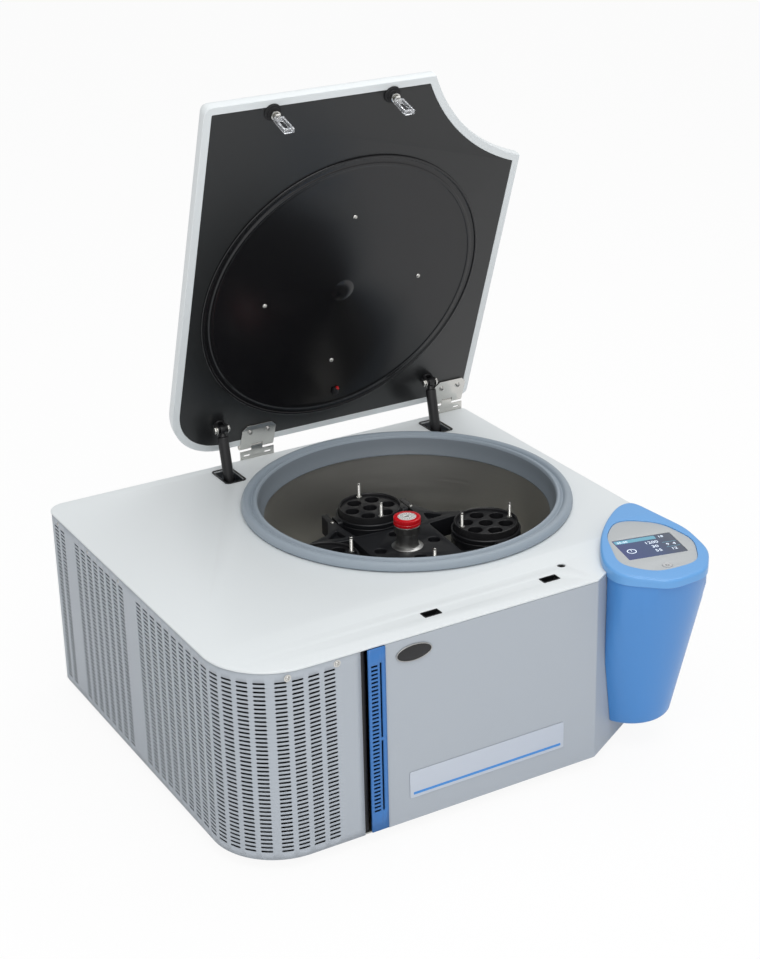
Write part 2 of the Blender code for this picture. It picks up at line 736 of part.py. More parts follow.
def build_panels(cab):
    """Front, right and rear sheets, each bent or slotted as it is in use."""
    corner_end = NOSE_DEPTH + CORNER_SMALL * math.tan((math.pi / 2 - NOSE_ANGLE) / 2)
    nose = sorted(p for p in cabinet_outline()
                  if p[0] > NOSE_START - CORNER_SMALL and p[1] < corner_end - GAP)
    front = bent_sheet([(PANEL_START, 0.0), *nose], 0.0, PANEL_TOP, SHEET)
    place("front_panel", front, PAINT_GREY, cab)

    side_start = corner_end + GAP
    starts = [SIDE_START + SIDE_PITCH * i for i in range(SIDE_SLOTS)]
    slots = [(y, y + SIDE_SLOT) for y in starts]
    rows = slot_rows(*SIDE_ROWS, 4, 0.35)
    along = [side_start] + [y for slot in slots for y in slot] + [DEPTH - SHEET - GAP]
    upward = [0.0] + [z for row in rows for z in row] + [PANEL_TOP]

    def in_slot(y, z):
        return any(a < y < b for a, b in slots) and any(a < z < b for a, b in rows)

    right = slotted_sheet(lambda y, z: (WIDTH, y, z), along, upward, in_slot, SHEET)
    place("right_panel", right, PAINT_GREY, cab)

    start = CORNER_BACK_LEFT + GRILLE_RETURN + GAP
    along = [start, *INLET[:2], *SWITCH[:2], *REAR_SLOTS[0], *REAR_SLOTS[1], WIDTH]
    upward = [0.0, *INLET[2:], *REAR_ROWS[0], *REAR_ROWS[1], PANEL_TOP]

    def is_open(x, z):
        for x0, x1, z0, z1 in (INLET, SWITCH):
            if x0 < x < x1 and z0 < z < z1:
                return True
        return any(a < x < b for a, b in REAR_SLOTS) and any(a < z < b for a, b in REAR_ROWS)

    rear = slotted_sheet(lambda x, z: (WIDTH + start - x, DEPTH, z),
                         [WIDTH + start - x for x in reversed(along)], upward,
                         lambda s, z: is_open(WIDTH + start - s, z), SHEET)
    place("rear_panel", rear, PAINT_GREY, cab)
    build_power_entry(cab)


def build_power_entry(cab):
    """One black module with the power inlet and the rocker's well."""
    x0, x1, z0, z1 = INLET
    sx0, sx1 = SWITCH[:2]
    back = DEPTH - INLET_DEPTH
    face = DEPTH + INLET_LIP
    wall = INLET_WALL
    body = box(x0 + GAP, back, z0 + GAP, x1 - GAP, face, z1 - GAP)
    body = combined(body, box(x0 + wall, back + wall, z0 + wall, x1 - wall, face + wall, z1 - wall))
    third = (x1 - x0) / 4
    middle = (z0 + z1) / 2
    pins = []
    for step, rise in ((1, -PIN), (2, 2 * PIN), (3, -PIN)):
        x = x0 + third * step
        z = middle + rise
        pins.append(box(x - PIN / 2, back + PIN, z - PIN, x + PIN / 2, face - INLET_DEPTH / 3, z + PIN))
    body = combined(body, joined(*pins), "UNION")
    wall = SWITCH_WALL
    frame = box(sx0 + GAP, back, z0 + GAP, sx1 - GAP, face, z1 - GAP)
    frame = combined(frame, box(sx0 + wall, back + wall, z0 + wall, sx1 - wall, face + wall, z1 - wall))
    link = box(x1 - wall, back, z0 + wall, sx0 + wall, back + 2 * wall, z1 - wall)
    place("power_entry", combined(combined(body, frame, "UNION"), link, "UNION"), PLASTIC_BLACK, cab)
    half = ROCKER_HALF
    low = -ROCKER_RADIUS - SHEET
    rocker = turned_to(cylinder(ROCKER_RADIUS, -half, half, 32), math.pi / 2, "Y")
    rocker = combined(rocker, box(-2 * half, low, -half - GAP, 2 * half, -low, half + GAP), "INTERSECT")
    hinge = empty("switch_axis", ((sx0 + sx1) / 2, DEPTH - ROCKER_AXIS, (z0 + z1) / 2), parent=cab)
    notch = box(-2 * half, ROCKER_RADIUS - 2 * SHEET, low, 2 * half, -low, GAP)
    place("mains_switch", combined(rocker, notch), PLASTIC_RED, hinge)


def build_deck(cab):
    holes = [circle(BOWL_X, BOWL_Y, DECK_HOLE, 40)]
    for x in LATCH_XS:
        holes.append(rectangle(x - LATCH_SLOT_X / 2, LATCH_Y - LATCH_SLOT_Y / 2,
                               x + LATCH_SLOT_X / 2, LATCH_Y + LATCH_SLOT_Y / 2, 0.0015, 2))
    holes.append(circle(*RELEASE_HOLE, 14))
    half = SLOT_STRUT_X / 2
    for x in STRUT_XS:
        holes.append(rectangle(x - half, SLOT_STRUT_Y0, x + half, SLOT_STRUT_Y1, 0.004, 2))
    deck = plate(cabinet_outline(), DECK_LOW, DECK_HEIGHT, holes)
    place("top_deck", deck, PAINT_WHITE, cab)


def seal_profile():
    """Soft ring with two beads and a lip that hangs into the bowl, from the deck's top."""
    rise = SEAL_HEIGHT
    low = -SEAL_DEPTH - SEAL_FOOT
    beads = [(0.0005, rise - 0.006), (0.003, rise - 0.0015), (0.0075, rise), (0.0115, rise - 0.0015),
             (0.0135, rise - 0.0040), (0.0155, rise - 0.0040), (0.0175, rise - 0.0015),
             (0.0200, rise - 0.0003), (0.0225, rise - 0.0018), (0.0240, rise - 0.0065),
             (0.0265, rise - 0.0165)]
    collar = DECK_HOLE - SHEET
    return [(SEAL_OUTER, GAP), *((SEAL_OUTER - inward, z) for inward, z in beads), (SEAL_LIP, -SEAL_DEPTH),
            (SEAL_LIP, low), (collar - 0.004, low), (collar, low + 0.0045), (collar, GAP)]


def build_chamber(cab):
    """Seal, bowl and guard ring."""
    centre = (BOWL_X, BOWL_Y, DECK_HEIGHT)
    place("chamber_seal", turned(seal_profile(), 40), RUBBER_SEAL, cab, centre, smooth=True)

    rim = DECK_HOLE - 0.007
    flange = -SEAL_DEPTH - SEAL_FOOT - GAP
    floor = BOWL_FLOOR - DECK_HEIGHT
    middle = (BOWL_RADIUS - BOWL_CORNER, floor + BOWL_CORNER)
    corner = arc(*middle, BOWL_CORNER, 0, -90, 3)
    outside = arc(*middle, BOWL_CORNER + SHEET, -90, 0, 3)
    bowl = turned([(rim, flange), (BOWL_RADIUS, flange), *corner, (BOWL_BORE, floor),
                   (BOWL_BORE, floor - SHEET), *outside, (BOWL_RADIUS + SHEET, flange - SHEET),
                   (rim, flange - SHEET)], 36)
    place("chamber_bowl", bowl, STEEL, cab, centre, smooth=True)

    outer = GUARD_INNER + GUARD_WALL
    guard = turned([(outer, GUARD_TOP), (GUARD_INNER, GUARD_TOP),
                    (GUARD_INNER, GUARD_LOW), (outer, GUARD_LOW)], 32)
    middle = GUARD_INNER + GUARD_WALL / 2
    leg = moved(cylinder(GUARD_LEG, PAN_SHEET + GAP, GUARD_LOW + PAN_SHEET, 8), x=middle)
    turned_to(leg, math.pi / 4, "Z")
    legs = []
    for quarter in range(4):
        legs.append(turned_to(leg.copy(), math.pi / 2 * quarter, "Z"))
    guard = combined(guard, joined(*legs), "UNION")
    place("guard_ring", guard, STEEL_DARK, cab, (BOWL_X, BOWL_Y, 0.0), smooth=True)


def build_drive(cab):
    """Motor on its rubber mount, and the boot that seals the shaft's way into the bowl."""
    low = PAN_SHEET + GAP
    centre = (BOWL_X, BOWL_Y, 0.0)
    bottom = low + MOUNT_HEIGHT + GAP
    flange_top = bottom + FLANGE_SHEET
    edge = 0.004
    bore = SHAFT_RADIUS + 2 * GAP
    motor = turned([(0.0, bottom), (MOTOR_FLANGE, bottom), (MOTOR_FLANGE, flange_top),
                    (MOTOR_RADIUS, flange_top), (MOTOR_RADIUS, MOTOR_TOP - edge),
                    (MOTOR_RADIUS - edge, MOTOR_TOP), (bore, MOTOR_TOP), (bore, SHAFT_LOW - GAP),
                    (0.0, SHAFT_LOW - GAP)], 28, closed=False)
    place("motor", motor, STEEL_DARK, cab, centre, smooth=True)
    top = low + MOUNT_HEIGHT
    waist = low + MOUNT_HEIGHT / 2
    inner = MOTOR_FLANGE - MOUNT_WIDTH
    mount = turned([(MOTOR_FLANGE, top), (MOTOR_FLANGE - MOUNT_WAIST, waist), (MOTOR_FLANGE, low),
                    (inner, low), (inner + MOUNT_WAIST, waist), (inner, top)], 32)
    place("motor_mount", mount, RUBBER_BLACK, cab, centre, smooth=True)
    wall = 0.003
    neck = BOOT_RADIUS - 2 * wall
    crown = BOWL_FLOOR + BOOT_RISE
    foot = BOWL_FLOOR - 0.008
    boot = turned([(BOOT_RADIUS, foot), (BOOT_RADIUS, BOWL_FLOOR + 0.004), (neck, crown),
                   (neck - wall, crown), (neck - wall, crown - wall),
                   (BOOT_RADIUS - wall, BOWL_FLOOR + 0.001), (BOOT_RADIUS - wall, foot)], 24)
    place("shaft_boot", boot, RUBBER_BLACK, cab, centre, smooth=True)


def bucket_mesh():
    """Round bucket about its swing axis (y), with its two bored lugs."""
    inner = BUCKET_RADIUS - BUCKET_WALL
    low = -BUCKET_DROP
    floor = low + BUCKET_FLOOR
    drain = 0.004
    bend = BUCKET_ROUND - BUCKET_WALL
    outside = arc(BUCKET_RADIUS - BUCKET_ROUND, low + BUCKET_ROUND, BUCKET_ROUND, -90, 0, 3)
    inside = arc(inner - bend, floor + bend, bend, 0, -90, 3)
    lip = 0.001
    cup = turned([(inner, BUCKET_RISE), *inside, (drain, floor), (drain, low), *outside,
                  (BUCKET_RADIUS, BUCKET_RISE - lip), (BUCKET_RADIUS - lip, BUCKET_RISE)], 24)
    top = BUCKET_RISE - lip
    lug = rounded([(-LUG_HALF, -LUG_DROP, 0.004), (LUG_HALF, -LUG_DROP, 0.004),
                   (LUG_HALF, top, 0.003), (-LUG_HALF, top, 0.003)], 2)
    for side in (-1, 1):
        y0, y1 = sorted((side * (inner + lip), side * LUG_REACH))
        cup = combined(cup, turned_to(plate(lug, -y1, -y0), math.pi / 2, "X"), "UNION")
        y0, y1 = sorted((side * (inner - BUCKET_WALL), side * (LUG_REACH + lip)))
        cup = combined(cup, rod_y(PIN_RADIUS + 2 * GAP, y0, y1, 0.0, 0.0, 12))
    return cup


def insert_mesh():
    """Tube insert with its ring of deep bores round one in the middle, and two handling posts."""
    low = -BUCKET_DROP + BUCKET_FLOOR + GAP
    floor = low + INSERT_FLOOR
    foot = INSERT_RADIUS - BUCKET_ROUND + BUCKET_WALL
    holes = [circle(0.0, 0.0, TUBE_RADIUS, 12)]
    for index in range(TUBES_ROUND):
        a = math.tau * (index + 0.5) / TUBES_ROUND
        holes.append(circle(TUBE_CIRCLE * math.cos(a), TUBE_CIRCLE * math.sin(a), TUBE_RADIUS, 12))
    body = plate(circle(0.0, 0.0, INSERT_RADIUS, 24), floor, INSERT_RISE, holes)
    base = cylinder(foot, low, floor + GAP, 24, top=INSERT_RADIUS - GAP)
    reach = INSERT_RADIUS - POST_EDGE
    posts = [moved(cylinder(POST_RADIUS, INSERT_RISE - POST_RADIUS, INSERT_RISE + POST_RISE, 8), x=x)
             for x in (-reach, reach)]
    return combined(combined(body, base, "UNION"), joined(*posts), "UNION")


def cross_mesh():
    """Four-arm cross with a collar, a web to each head, ears and pins."""
    face = EAR_FACE
    back = face + EAR_WALL
    start = PIVOT_RADIUS - LUG_HALF - 0.010
    side = face - 0.006
    web = back + 0.0175
    root = start + 0.020
    corner = [(HUB_HALF, side), (start, face), (EAR_REACH, face), (EAR_REACH, back),
              (root, back + 0.001), (web, web), (back + 0.001, root),
              (back, EAR_REACH), (face, EAR_REACH), (face, start), (side, HUB_HALF)]
    outline = []
    for quarter in range(4):
        spin = Matrix.Rotation(math.pi / 2 * quarter, 2)
        outline += [tuple(spin @ Vector(p)) for p in corner]
    bore = SHAFT_RADIUS + 2 * GAP
    body = plate(outline, ROTOR_LOW, ROTOR_HIGH, [circle(0.0, 0.0, bore, 16)])
    collar = turned([(bore, ROTOR_HIGH - 0.004), (bore, COLLAR_TOP), (STEM_RADIUS, COLLAR_TOP),
                     (STEM_RADIUS, ROTOR_HIGH + 0.003), (STEM_RADIUS + 0.008, ROTOR_HIGH - 0.004)], 24)
    body = combined(body, collar, "UNION")
    pins = []
    for quarter in range(4):
        for sign in (-1, 1):
            y0, y1 = sorted((sign * (face - PIN_LENGTH), sign * (face + EAR_WALL / 2)))
            pin = rod_y(PIN_RADIUS, y0, y1, PIVOT_RADIUS, PIVOT_HEIGHT, 12)
            pins.append(turned_to(pin, math.pi / 2 * quarter, "Z"))
    return combined(body, joined(*pins), "UNION")


def build_rotor(cab):
    """Spindle, cross, knob and the four buckets with their inserts."""
    rotor = empty("rotor_axis", (BOWL_X, BOWL_Y, 0.0), (0, 0, ROTOR_TURN), cab)
    high = COLLAR_TOP - GAP
    spindle = turned([(0.0, high), (SHAFT_RADIUS, high), (SHAFT_RADIUS, SHAFT_LOW), (0.0, SHAFT_LOW)],
                     24, closed=False)
    place("drive_spindle", spindle, STEEL, rotor, smooth=True)
    place("rotor_cross", cross_mesh(), ROTOR_COAT, rotor, smooth=True)
    low = KNOB_TOP - KNOB_HEIGHT
    knob = turned([(0.0, KNOB_TOP), (KNOB_RADIUS - 0.0015, KNOB_TOP), (KNOB_RADIUS, KNOB_TOP - 0.0015),
                   (KNOB_RADIUS, low + 0.001), (KNOB_RADIUS - 0.001, low), (0.0, low)], 40, closed=False)
    place("rotor_knob", knob, PLASTIC_RED, rotor, smooth=True)
    bucket = bucket_mesh()
    insert = insert_mesh()
    for number in range(4):
        angle = math.pi / 2 * number
        pivot = empty(f"bucket_axis_{number + 1}",
                      (PIVOT_RADIUS * math.cos(angle), PIVOT_RADIUS * math.sin(angle), PIVOT_HEIGHT),
                      (0, 0, angle), rotor)
        place(f"bucket_{number + 1}", bucket.copy(), ROTOR_COAT, pivot, smooth=True)
        place(f"tube_insert_{number + 1}", insert.copy(), PLASTIC_BLACK, pivot, smooth=True)


def inset_loop(loop, distance):
    """Outline moved inward by a distance, corner by corner."""
    points = [Vector(p) for p in loop]
    area = sum(a.x * b.y - b.x * a.y for a, b in zip(points, points[1:] + points[:1]))
    turn = 1.0 if area > 0 else -1.0
    result = []
    for index, here in enumerate(points):
        before = (here - points[index - 1]).normalized()
        after = (points[(index + 1) % len(points)] - here).normalized()
        normal_a = Vector((-before.y, before.x)) * turn
        normal_b = Vector((-after.y, after.x)) * turn
        middle = normal_a + normal_b
        result.append(tuple(here + middle * (2 * distance / middle.length_squared)))
    return result


def rounded_plate(outline, low, high, bevel, steps=3):
    """Flat outline given thickness, its upper edge rounded."""
    bm = bmesh.new()
    face = bm.faces.new([bm.verts.new((x, y, low)) for x, y in outline])
    grown = bmesh.ops.extrude_face_region(bm, geom=[face])
    verts = [v for v in grown["geom"] if isinstance(v, bmesh.types.BMVert)]
    bmesh.ops.translate(bm, verts=verts, vec=(0, 0, high - low))
    bmesh.ops.recalc_face_normals(bm, faces=bm.faces)
    edges = [e for e in bm.edges if all(abs(v.co.z - high) < 1e-7 for v in e.verts)]
    bmesh.ops.bevel(bm, geom=edges, offset=bevel, segments=steps, affect="EDGES", profile=0.5)
    mesh = bpy.data.meshes.new("rounded")
    bm.to_mesh(mesh)
    bm.free()
    return mesh


def cut_corner_arc(radius, x_limit, y_limit, steps):
    """Arc about the pod's shared centre, from a front line to a side line."""
    start = math.degrees(math.acos((x_limit - ARC_X) / radius))
    end = 180.0 - math.degrees(math.asin((y_limit - ARC_Y) / radius))
    return arc(ARC_X, ARC_Y, radius, start, end, steps)


def lid_outline(inset=0.0):
    """Closed plan of the lid: x, and y back from the hinge axis as minus u."""
    left = LID_LEFT + inset
    right = LID_RIGHT - inset
    front = -LID_FRONT + inset
    back = -LID_BACK - inset
    least = 0.002
    hollow = [(x, y - HINGE_Y) for x, y in
              cut_corner_arc(ARC_LID + inset, right, HINGE_Y + front, 10)]
    hollow.reverse()
    front_left = fillet((left, back), (left, front), hollow[0], max(LID_CORNER_FRONT - inset, least), 4)
    back_right = fillet(hollow[-1], (right, back), (left, back), max(LID_CORNER_SMALL - inset, least), 4)
    back_left = fillet((right, back), (left, back), (left, front), LID_CORNER_BACK - inset, 8)
    return front_left + hollow + back_right + back_left


def build_lid(cab):
    """Lid shell, liner, ring plate, latch loops, hinge leaves and fittings."""
    lid = empty("lid_axis", (0.0, HINGE_Y, HINGE_Z), (-LID_OPEN, 0, 0), cab)
    outline = lid_outline()
    shell = rounded_plate(outline, LID_FACE, LID_TOP, LID_ROUND)
    pocket = plate(lid_outline(LID_RIM), LID_FACE - 0.01, LID_TOP - LID_WALL)
    place("lid_shell", combined(shell, pocket), PAINT_WHITE, lid, smooth=True)
    liner = plate(lid_outline(LID_RIM + GAP), LID_FACE, LID_FACE + LINER_SHEET)
    place("lid_liner", liner, PLASTIC_BLACK, lid)

    high = LID_FACE - GAP
    place("lid_ring_plate", turned(ring_profile(high), 40, closed=False), PLASTIC_GLOSS, lid,
          (BOWL_X, BOWL_Y - HINGE_Y, 0.0), smooth=True)
    build_latches(lid, high)
    build_lid_fittings(lid, high)


def ring_profile(high):
    """Round plate under the lid: a flat face with a shallow boss, and two beads round a groove."""
    face = high - PLATE_SHEET
    bead = BEAD_FACE
    soft = 0.001
    inner = BEAD_OUTER - BEAD_WIDTH
    second = inner - GROOVE
    return [(0.0, high), (BEAD_OUTER, high), (BEAD_OUTER, bead + soft), (BEAD_OUTER - soft, bead),
            (inner, bead), (inner - soft, face + soft / 2), (second, face + soft / 2),
            (second - soft, bead), (second - BEAD_WIDTH - soft / 2, bead),
            (second - BEAD_WIDTH - 2 * soft, face),
            (0.016, face), (0.010, face - 0.0012), (0.0, face - 0.0016)]


def build_latches(lid, high):
    """Clear latch loops near the lid's front edge, each on a round grommet."""
    base = high - GROMMET_HEIGHT
    latch_y = LATCH_Y - HINGE_Y
    for x, side in zip(LATCH_XS, SIDES):
        half = LOOP_WIDTH / 2
        top = high - 0.001
        outer = rounded([(-half, -LOOP_TIP, 0.006), (half, -LOOP_TIP, 0.006),
                         (half, top, 0.0), (-half, top, 0.0)], 4)
        bar = half - LOOP_SIDE
        tip = -LOOP_TIP + LOOP_BAR
        root = base - 0.006
        inner = rounded([(-bar, tip, 0.003), (bar, tip, 0.003), (bar, root, 0.002), (-bar, root, 0.002)], 3)
        loop = turned_to(plate(outer, -LOOP_SHEET / 2, LOOP_SHEET / 2, [inner]), math.pi / 2, "X")
        grommet = turned([(0.0, high), (GROMMET_RADIUS, high), (GROMMET_RADIUS - 0.0015, base), (0.0, base)],
                         24, closed=False)
        place(f"latch_loop_{side}", combined(loop, grommet, "UNION"), PLASTIC_CLEAR, lid, (x, latch_y, 0.0))


def build_lid_fittings(lid, high):
    """Studs that carry the struts' upper eyes, and the lid's hinge leaves."""
    reach = 2 * STUD_FOOT
    for x, side in zip(STRUT_XS, SIDES):
        foot = cylinder(STUD_FOOT, STRUT_EYE_V - STUD_RADIUS - 0.001, high, 20)
        gap_x = EYE_HALF + GAP
        slot = box(-gap_x - GAP, -reach, STRUT_EYE_V - reach, reach, reach, high - 0.0025)
        stem = combined(foot, slot)
        stem = combined(stem, rod_x(STUD_RADIUS, -gap_x - 0.002, EYE_HALF + 0.002, 0.0, STRUT_EYE_V), "UNION")
        place(f"strut_stud_{side}", stem, PLASTIC_BLACK, lid, (x, -STRUT_EYE_U, 0.0))

    for x, side in zip(HINGE_XS, SIDES):
        a = x - HINGE_WIDTH / 2
        c = x + HINGE_WIDTH / 2
        third = HINGE_WIDTH / 3
        outer = [(a, -LEAF_REACH), (c, -LEAF_REACH), (c, 0.0), (c - third + GAP, 0.0),
                 (c - third + GAP, -LID_BACK), (a + third - GAP, -LID_BACK), (a + third - GAP, 0.0), (a, 0.0)]
        leaf = plate(outer, -KNUCKLE, -KNUCKLE + LEAF)
        for x0, x1 in ((a, a + third - GAP), (c - third + GAP, c)):
            leaf = combined(leaf, rod_x(KNUCKLE, x0, x1, 0.0, 0.0, 24), "UNION")
        pin = rod_x(PIN, a + 0.002, c - 0.002, 0.0, 0.0, 12)
        place(f"hinge_lid_{side}", combined(leaf, pin, "UNION"), STEEL, lid)


def build_hinge_bases(cab):
    """Deck-side leaves on the rear edge, with the middle knuckles."""
    for x, side in zip(HINGE_XS, SIDES):
        third = HINGE_WIDTH / 3
        a = x - HINGE_WIDTH / 2
        c = x + HINGE_WIDTH / 2
        low = DECK_HEIGHT - LEAF_DROP
        outline = [(a, low), (c, low), (c, LEAF_TOP), (c - third, LEAF_TOP), (c - third, HINGE_Z),
                   (a + third, HINGE_Z), (a + third, LEAF_TOP), (a, LEAF_TOP)]
        back = -(HINGE_Y - KNUCKLE)
        leaf = turned_to(plate(outline, back - LEAF, back), math.pi / 2, "X")
        leaf = combined(leaf, rod_x(KNUCKLE, a + third, c - third, HINGE_Y, HINGE_Z, 24), "UNION")
        leaf = combined(leaf, rod_x(PIN + GAP, a, c, HINGE_Y, HINGE_Z, 12))
        place(f"hinge_deck_{side}", leaf, STEEL, cab)


def build_struts(cab):
    """Gas struts: cylinder on the lid's eye, rod sliding inside it."""
    eye_y = HINGE_Y - STRUT_EYE_U * math.cos(LID_OPEN) + STRUT_EYE_V * math.sin(LID_OPEN)
    eye_z = HINGE_Z + STRUT_EYE_U * math.sin(LID_OPEN) + STRUT_EYE_V * math.cos(LID_OPEN)
    length = math.hypot(eye_y - STRUT_FOOT_Y, eye_z - STRUT_FOOT_Z)
    lean = math.atan2(STRUT_FOOT_Y - eye_y, eye_z - STRUT_FOOT_Z)
    ring = EYE_RADIUS
    reach = 2 * STUD_FOOT
    bore = ROD_RADIUS + 0.0004
    low = PAN_SHEET + GAP
    front = STRUT_FOOT_Y - BRACKET_HALF
    back = STRUT_FOOT_Y + BRACKET_HALF
    side_room = EYE_HALF + 0.0045
    bracket = box(STRUT_XS[0] - side_room, front, low, STRUT_XS[1] + side_room, back, low + BRACKET_SHEET)
    for x, side in zip(STRUT_XS, SIDES):
        pivot = empty(f"strut_axis_{side}", (x, eye_y, eye_z), (lean, 0, 0), cab)
        eye = rod_x(ring, -EYE_HALF, EYE_HALF, 0.0, 0.0, 20)
        shoulder = -ring - 0.0045
        outside = cylinder(STRUT_RADIUS, -STRUT_TUBE, shoulder, 24)
        neck = cylinder(EYE_HALF, shoulder - 0.001, -ring / 2, 12)
        tube = combined(combined(outside, neck, "UNION"), eye, "UNION")
        tube = combined(tube, rod_x(STUD_RADIUS + GAP, -reach, reach, 0.0, 0.0, 12))
        tube = combined(tube, cylinder(bore, -STRUT_TUBE - reach, shoulder - 0.004, 16))
        place(f"strut_cylinder_{side}", tube, PLASTIC_BLACK, pivot, smooth=True)
        foot = rod_x(ring, -EYE_HALF, EYE_HALF, 0.0, -length, 20)
        rod = cylinder(ROD_RADIUS, -length + 0.003, -length + ROD_LENGTH, 16)
        rod = combined(rod, foot, "UNION")
        rod = combined(rod, rod_x(STUD_RADIUS + GAP, -reach, reach, 0.0, -length, 12))
        place(f"strut_rod_{side}", rod, STEEL, pivot, smooth=True)
        out = -1 if side == "left" else 1
        near = x + out * (EYE_HALF + 0.0040)
        far = near + out * BRACKET_SHEET
        x0, x1 = sorted((near, far))
        wall = box(x0, front, low, x1, back, STRUT_FOOT_Z + 2 * ring - 0.001)
        b0, b1 = sorted((near + out * 0.001, x + out * (EYE_HALF + 0.0008)))
        boss = rod_x(2 * STUD_RADIUS, b0, b1, STRUT_FOOT_Y, STRUT_FOOT_Z, 16)
        bracket = combined(bracket, combined(wall, boss, "UNION"), "UNION")
    place("strut_bracket", bracket, STEEL_DARK, cab)


def build_locks(cab):
    """Lock housings under the deck with their sliding pawls."""
    high = DECK_LOW - GAP
    bar0, bar1 = LOCK_BAR
    housing = box(LATCH_XS[0], LATCH_Y + bar0, high - 0.012, LATCH_XS[1], LATCH_Y + bar1, high - 0.001)
    pawl_z = HINGE_Z - LOOP_TIP + LOOP_BAR + 0.0070
    half_x = LOOP_WIDTH / 2 + 0.0035
    half_y = LATCH_SLOT_Y / 2 + 0.0015
    for x, side in zip(LATCH_XS, SIDES):
        block = box(x - LOCK_HALF, LATCH_Y - LOCK_FRONT, LOCK_LOW, x + LOCK_HALF, LATCH_Y + LOCK_BACK, high)
        block = combined(block, box(x - half_x, LATCH_Y - half_y, LOCK_LOW - LOCK_HALF,
                                    x + half_x, LATCH_Y + half_y, high + LOCK_HALF))
        housing = combined(housing, block, "UNION")
        housing = combined(housing, rod_y(PAWL_RADIUS + GAP, LATCH_Y - LOCK_FRONT + 0.0035,
                                          LATCH_Y + LOCK_BACK - 0.010, x, pawl_z, 14))
        axis = empty(f"pawl_axis_{side}", (x, PAWL_START, pawl_z), parent=cab)
        pawl = rod_y(PAWL_RADIUS, 0.0, PAWL_LENGTH, 0.0, 0.0, 14)
        place(f"lock_pawl_{side}", pawl, STEEL, axis, smooth=True)
    place("lock_housing", housing, STEEL_DARK, cab)


def facing_x(mesh):
    """Stand a flat shape up: its plan lies across x, its thickness along x."""
    mesh.transform(Matrix(((0, 0, 1, 0), (1, 0, 0, 0), (0, 1, 0, 0), (0, 0, 0, 1))))
    return mesh


def build_bay(cab):
    """Cooling set and control board behind the grille."""
    low = PAN_SHEET + GAP
    x0 = CONDENSER_X
    x1 = x0 + CONDENSER_THICKNESS
    half = SHROUD_HALF + 0.024
    y0 = FAN_Y - half
    y1 = FAN_Y + half
    core = box(x0, y0, low + 0.005, x1, y1, CONDENSER_TOP)
    ends = [box(x0 - 0.002, y, low, x1 + 0.001, y + 0.002, CONDENSER_TOP + 0.005)
            for y in (y0 - 0.001, y1 - 0.001)]
    tubes = [rod_y(CONDENSER_TUBE, y0 - 0.010, y1 + 0.010, x, z, 8)
             for x in (x0 + 0.010, x1 - 0.010) for z in CONDENSER_ROWS]
    core = combined(combined(core, joined(*ends), "UNION"), joined(*tubes), "UNION")
    place("condenser", core, ALUMINIUM, cab)

    a = SHROUD_HALF
    back = SHROUD_X + SHROUD_DEPTH
    duct = facing_x(plate(rectangle(-a, -a, a, a, 0.006), SHROUD_X, back,
                          [circle(0.0, 0.0, FAN_RADIUS + 0.003, 40)]))
    bar = box(back - 0.002, 0.006 - a, -0.010, back + 0.006, a - 0.006, 0.010)
    drum = rod_x(DRUM_RADIUS, back - 0.0015, back + 0.032, 0.0, 0.0, 24)
    duct = combined(combined(duct, bar, "UNION"), drum, "UNION")
    duct = combined(duct, rod_x(0.0032, back - 0.016, back + 0.019, 0.0, 0.0, 12))
    leg = box(SHROUD_X + 0.004, 0.016 - a, low - FAN_Z, back - 0.004, a - 0.016, 0.002 - a)
    place("fan_shroud", combined(duct, leg, "UNION"), PLASTIC_BLACK, cab, (0.0, FAN_Y, FAN_Z))

    axis = empty("fan_axis", (0.0, FAN_Y, FAN_Z), parent=cab)
    hub = rod_x(DRUM_RADIUS, SHROUD_X + 0.008, back - 0.003, 0.0, 0.0, 24)
    fan = combined(hub, rod_x(0.0025, back - 0.006, back + 0.016, 0.0, 0.0, 12), "UNION")
    tip = FAN_RADIUS - 0.006
    root = DRUM_RADIUS - 0.006
    blade = plate(rounded([(-0.016, root, 0), (0.016, root, 0), (0.030, tip, 0.008),
                           (-0.026, tip, 0.008)], 3), -0.001, 0.001)
    blade = turned_to(facing_x(blade), math.radians(28), "Z")
    moved(blade, x=SHROUD_X + SHROUD_DEPTH / 2 + 0.002)
    for index in range(FAN_BLADES):
        fan = combined(fan, turned_to(blade.copy(), math.tau * index / FAN_BLADES, "X"), "UNION")
    place("condenser_fan", fan, PLASTIC_PALE, axis)

    can = turned(list(COMPRESSOR_CAN), 20, closed=False)
    sole = COMPRESSOR_SOLE
    can = combined(can, plate(rectangle(-sole, -sole, sole, sole, 0.010), 0.014, 0.030), "UNION")
    foot = COMPRESSOR_FOOT
    mounts = [moved(cylinder(0.009, low, 0.0150, 12), x=x, y=y) for x in (-foot, foot) for y in (-foot, foot)]
    place("compressor", combined(can, joined(*mounts), "UNION"), STEEL_DARK, cab,
          (COMPRESSOR_X, COMPRESSOR_Y, 0.0), smooth=True)

    left, right, top = BOARD
    board = box(left, BOARD_Y, low, right, BOARD_Y + BOARD_SHEET, top)
    face = BOARD_Y + BOARD_SHEET - 0.0004
    wide, deep, tall = RELAY
    relays = [box(x, face, z, x + wide, face + deep, z + tall) for x in RELAY_XS for z in RELAY_ZS]
    place("control_board", combined(board, joined(*relays), "UNION"), BOARD_GREEN, cab)


def cap_outline():
    """Plan of the pod's cap: hollow rear edge, blunt nose to the front."""
    hollow = cut_corner_arc(ARC_POD, CAP_RIGHT - 0.012, 0.004, 10)
    hollow.reverse()
    return rounded([(x, y, 0.0) for x, y in hollow]
                   + [(CAP_RIGHT + x, y, radius) for x, y, radius in CAP_CORNERS], 5)


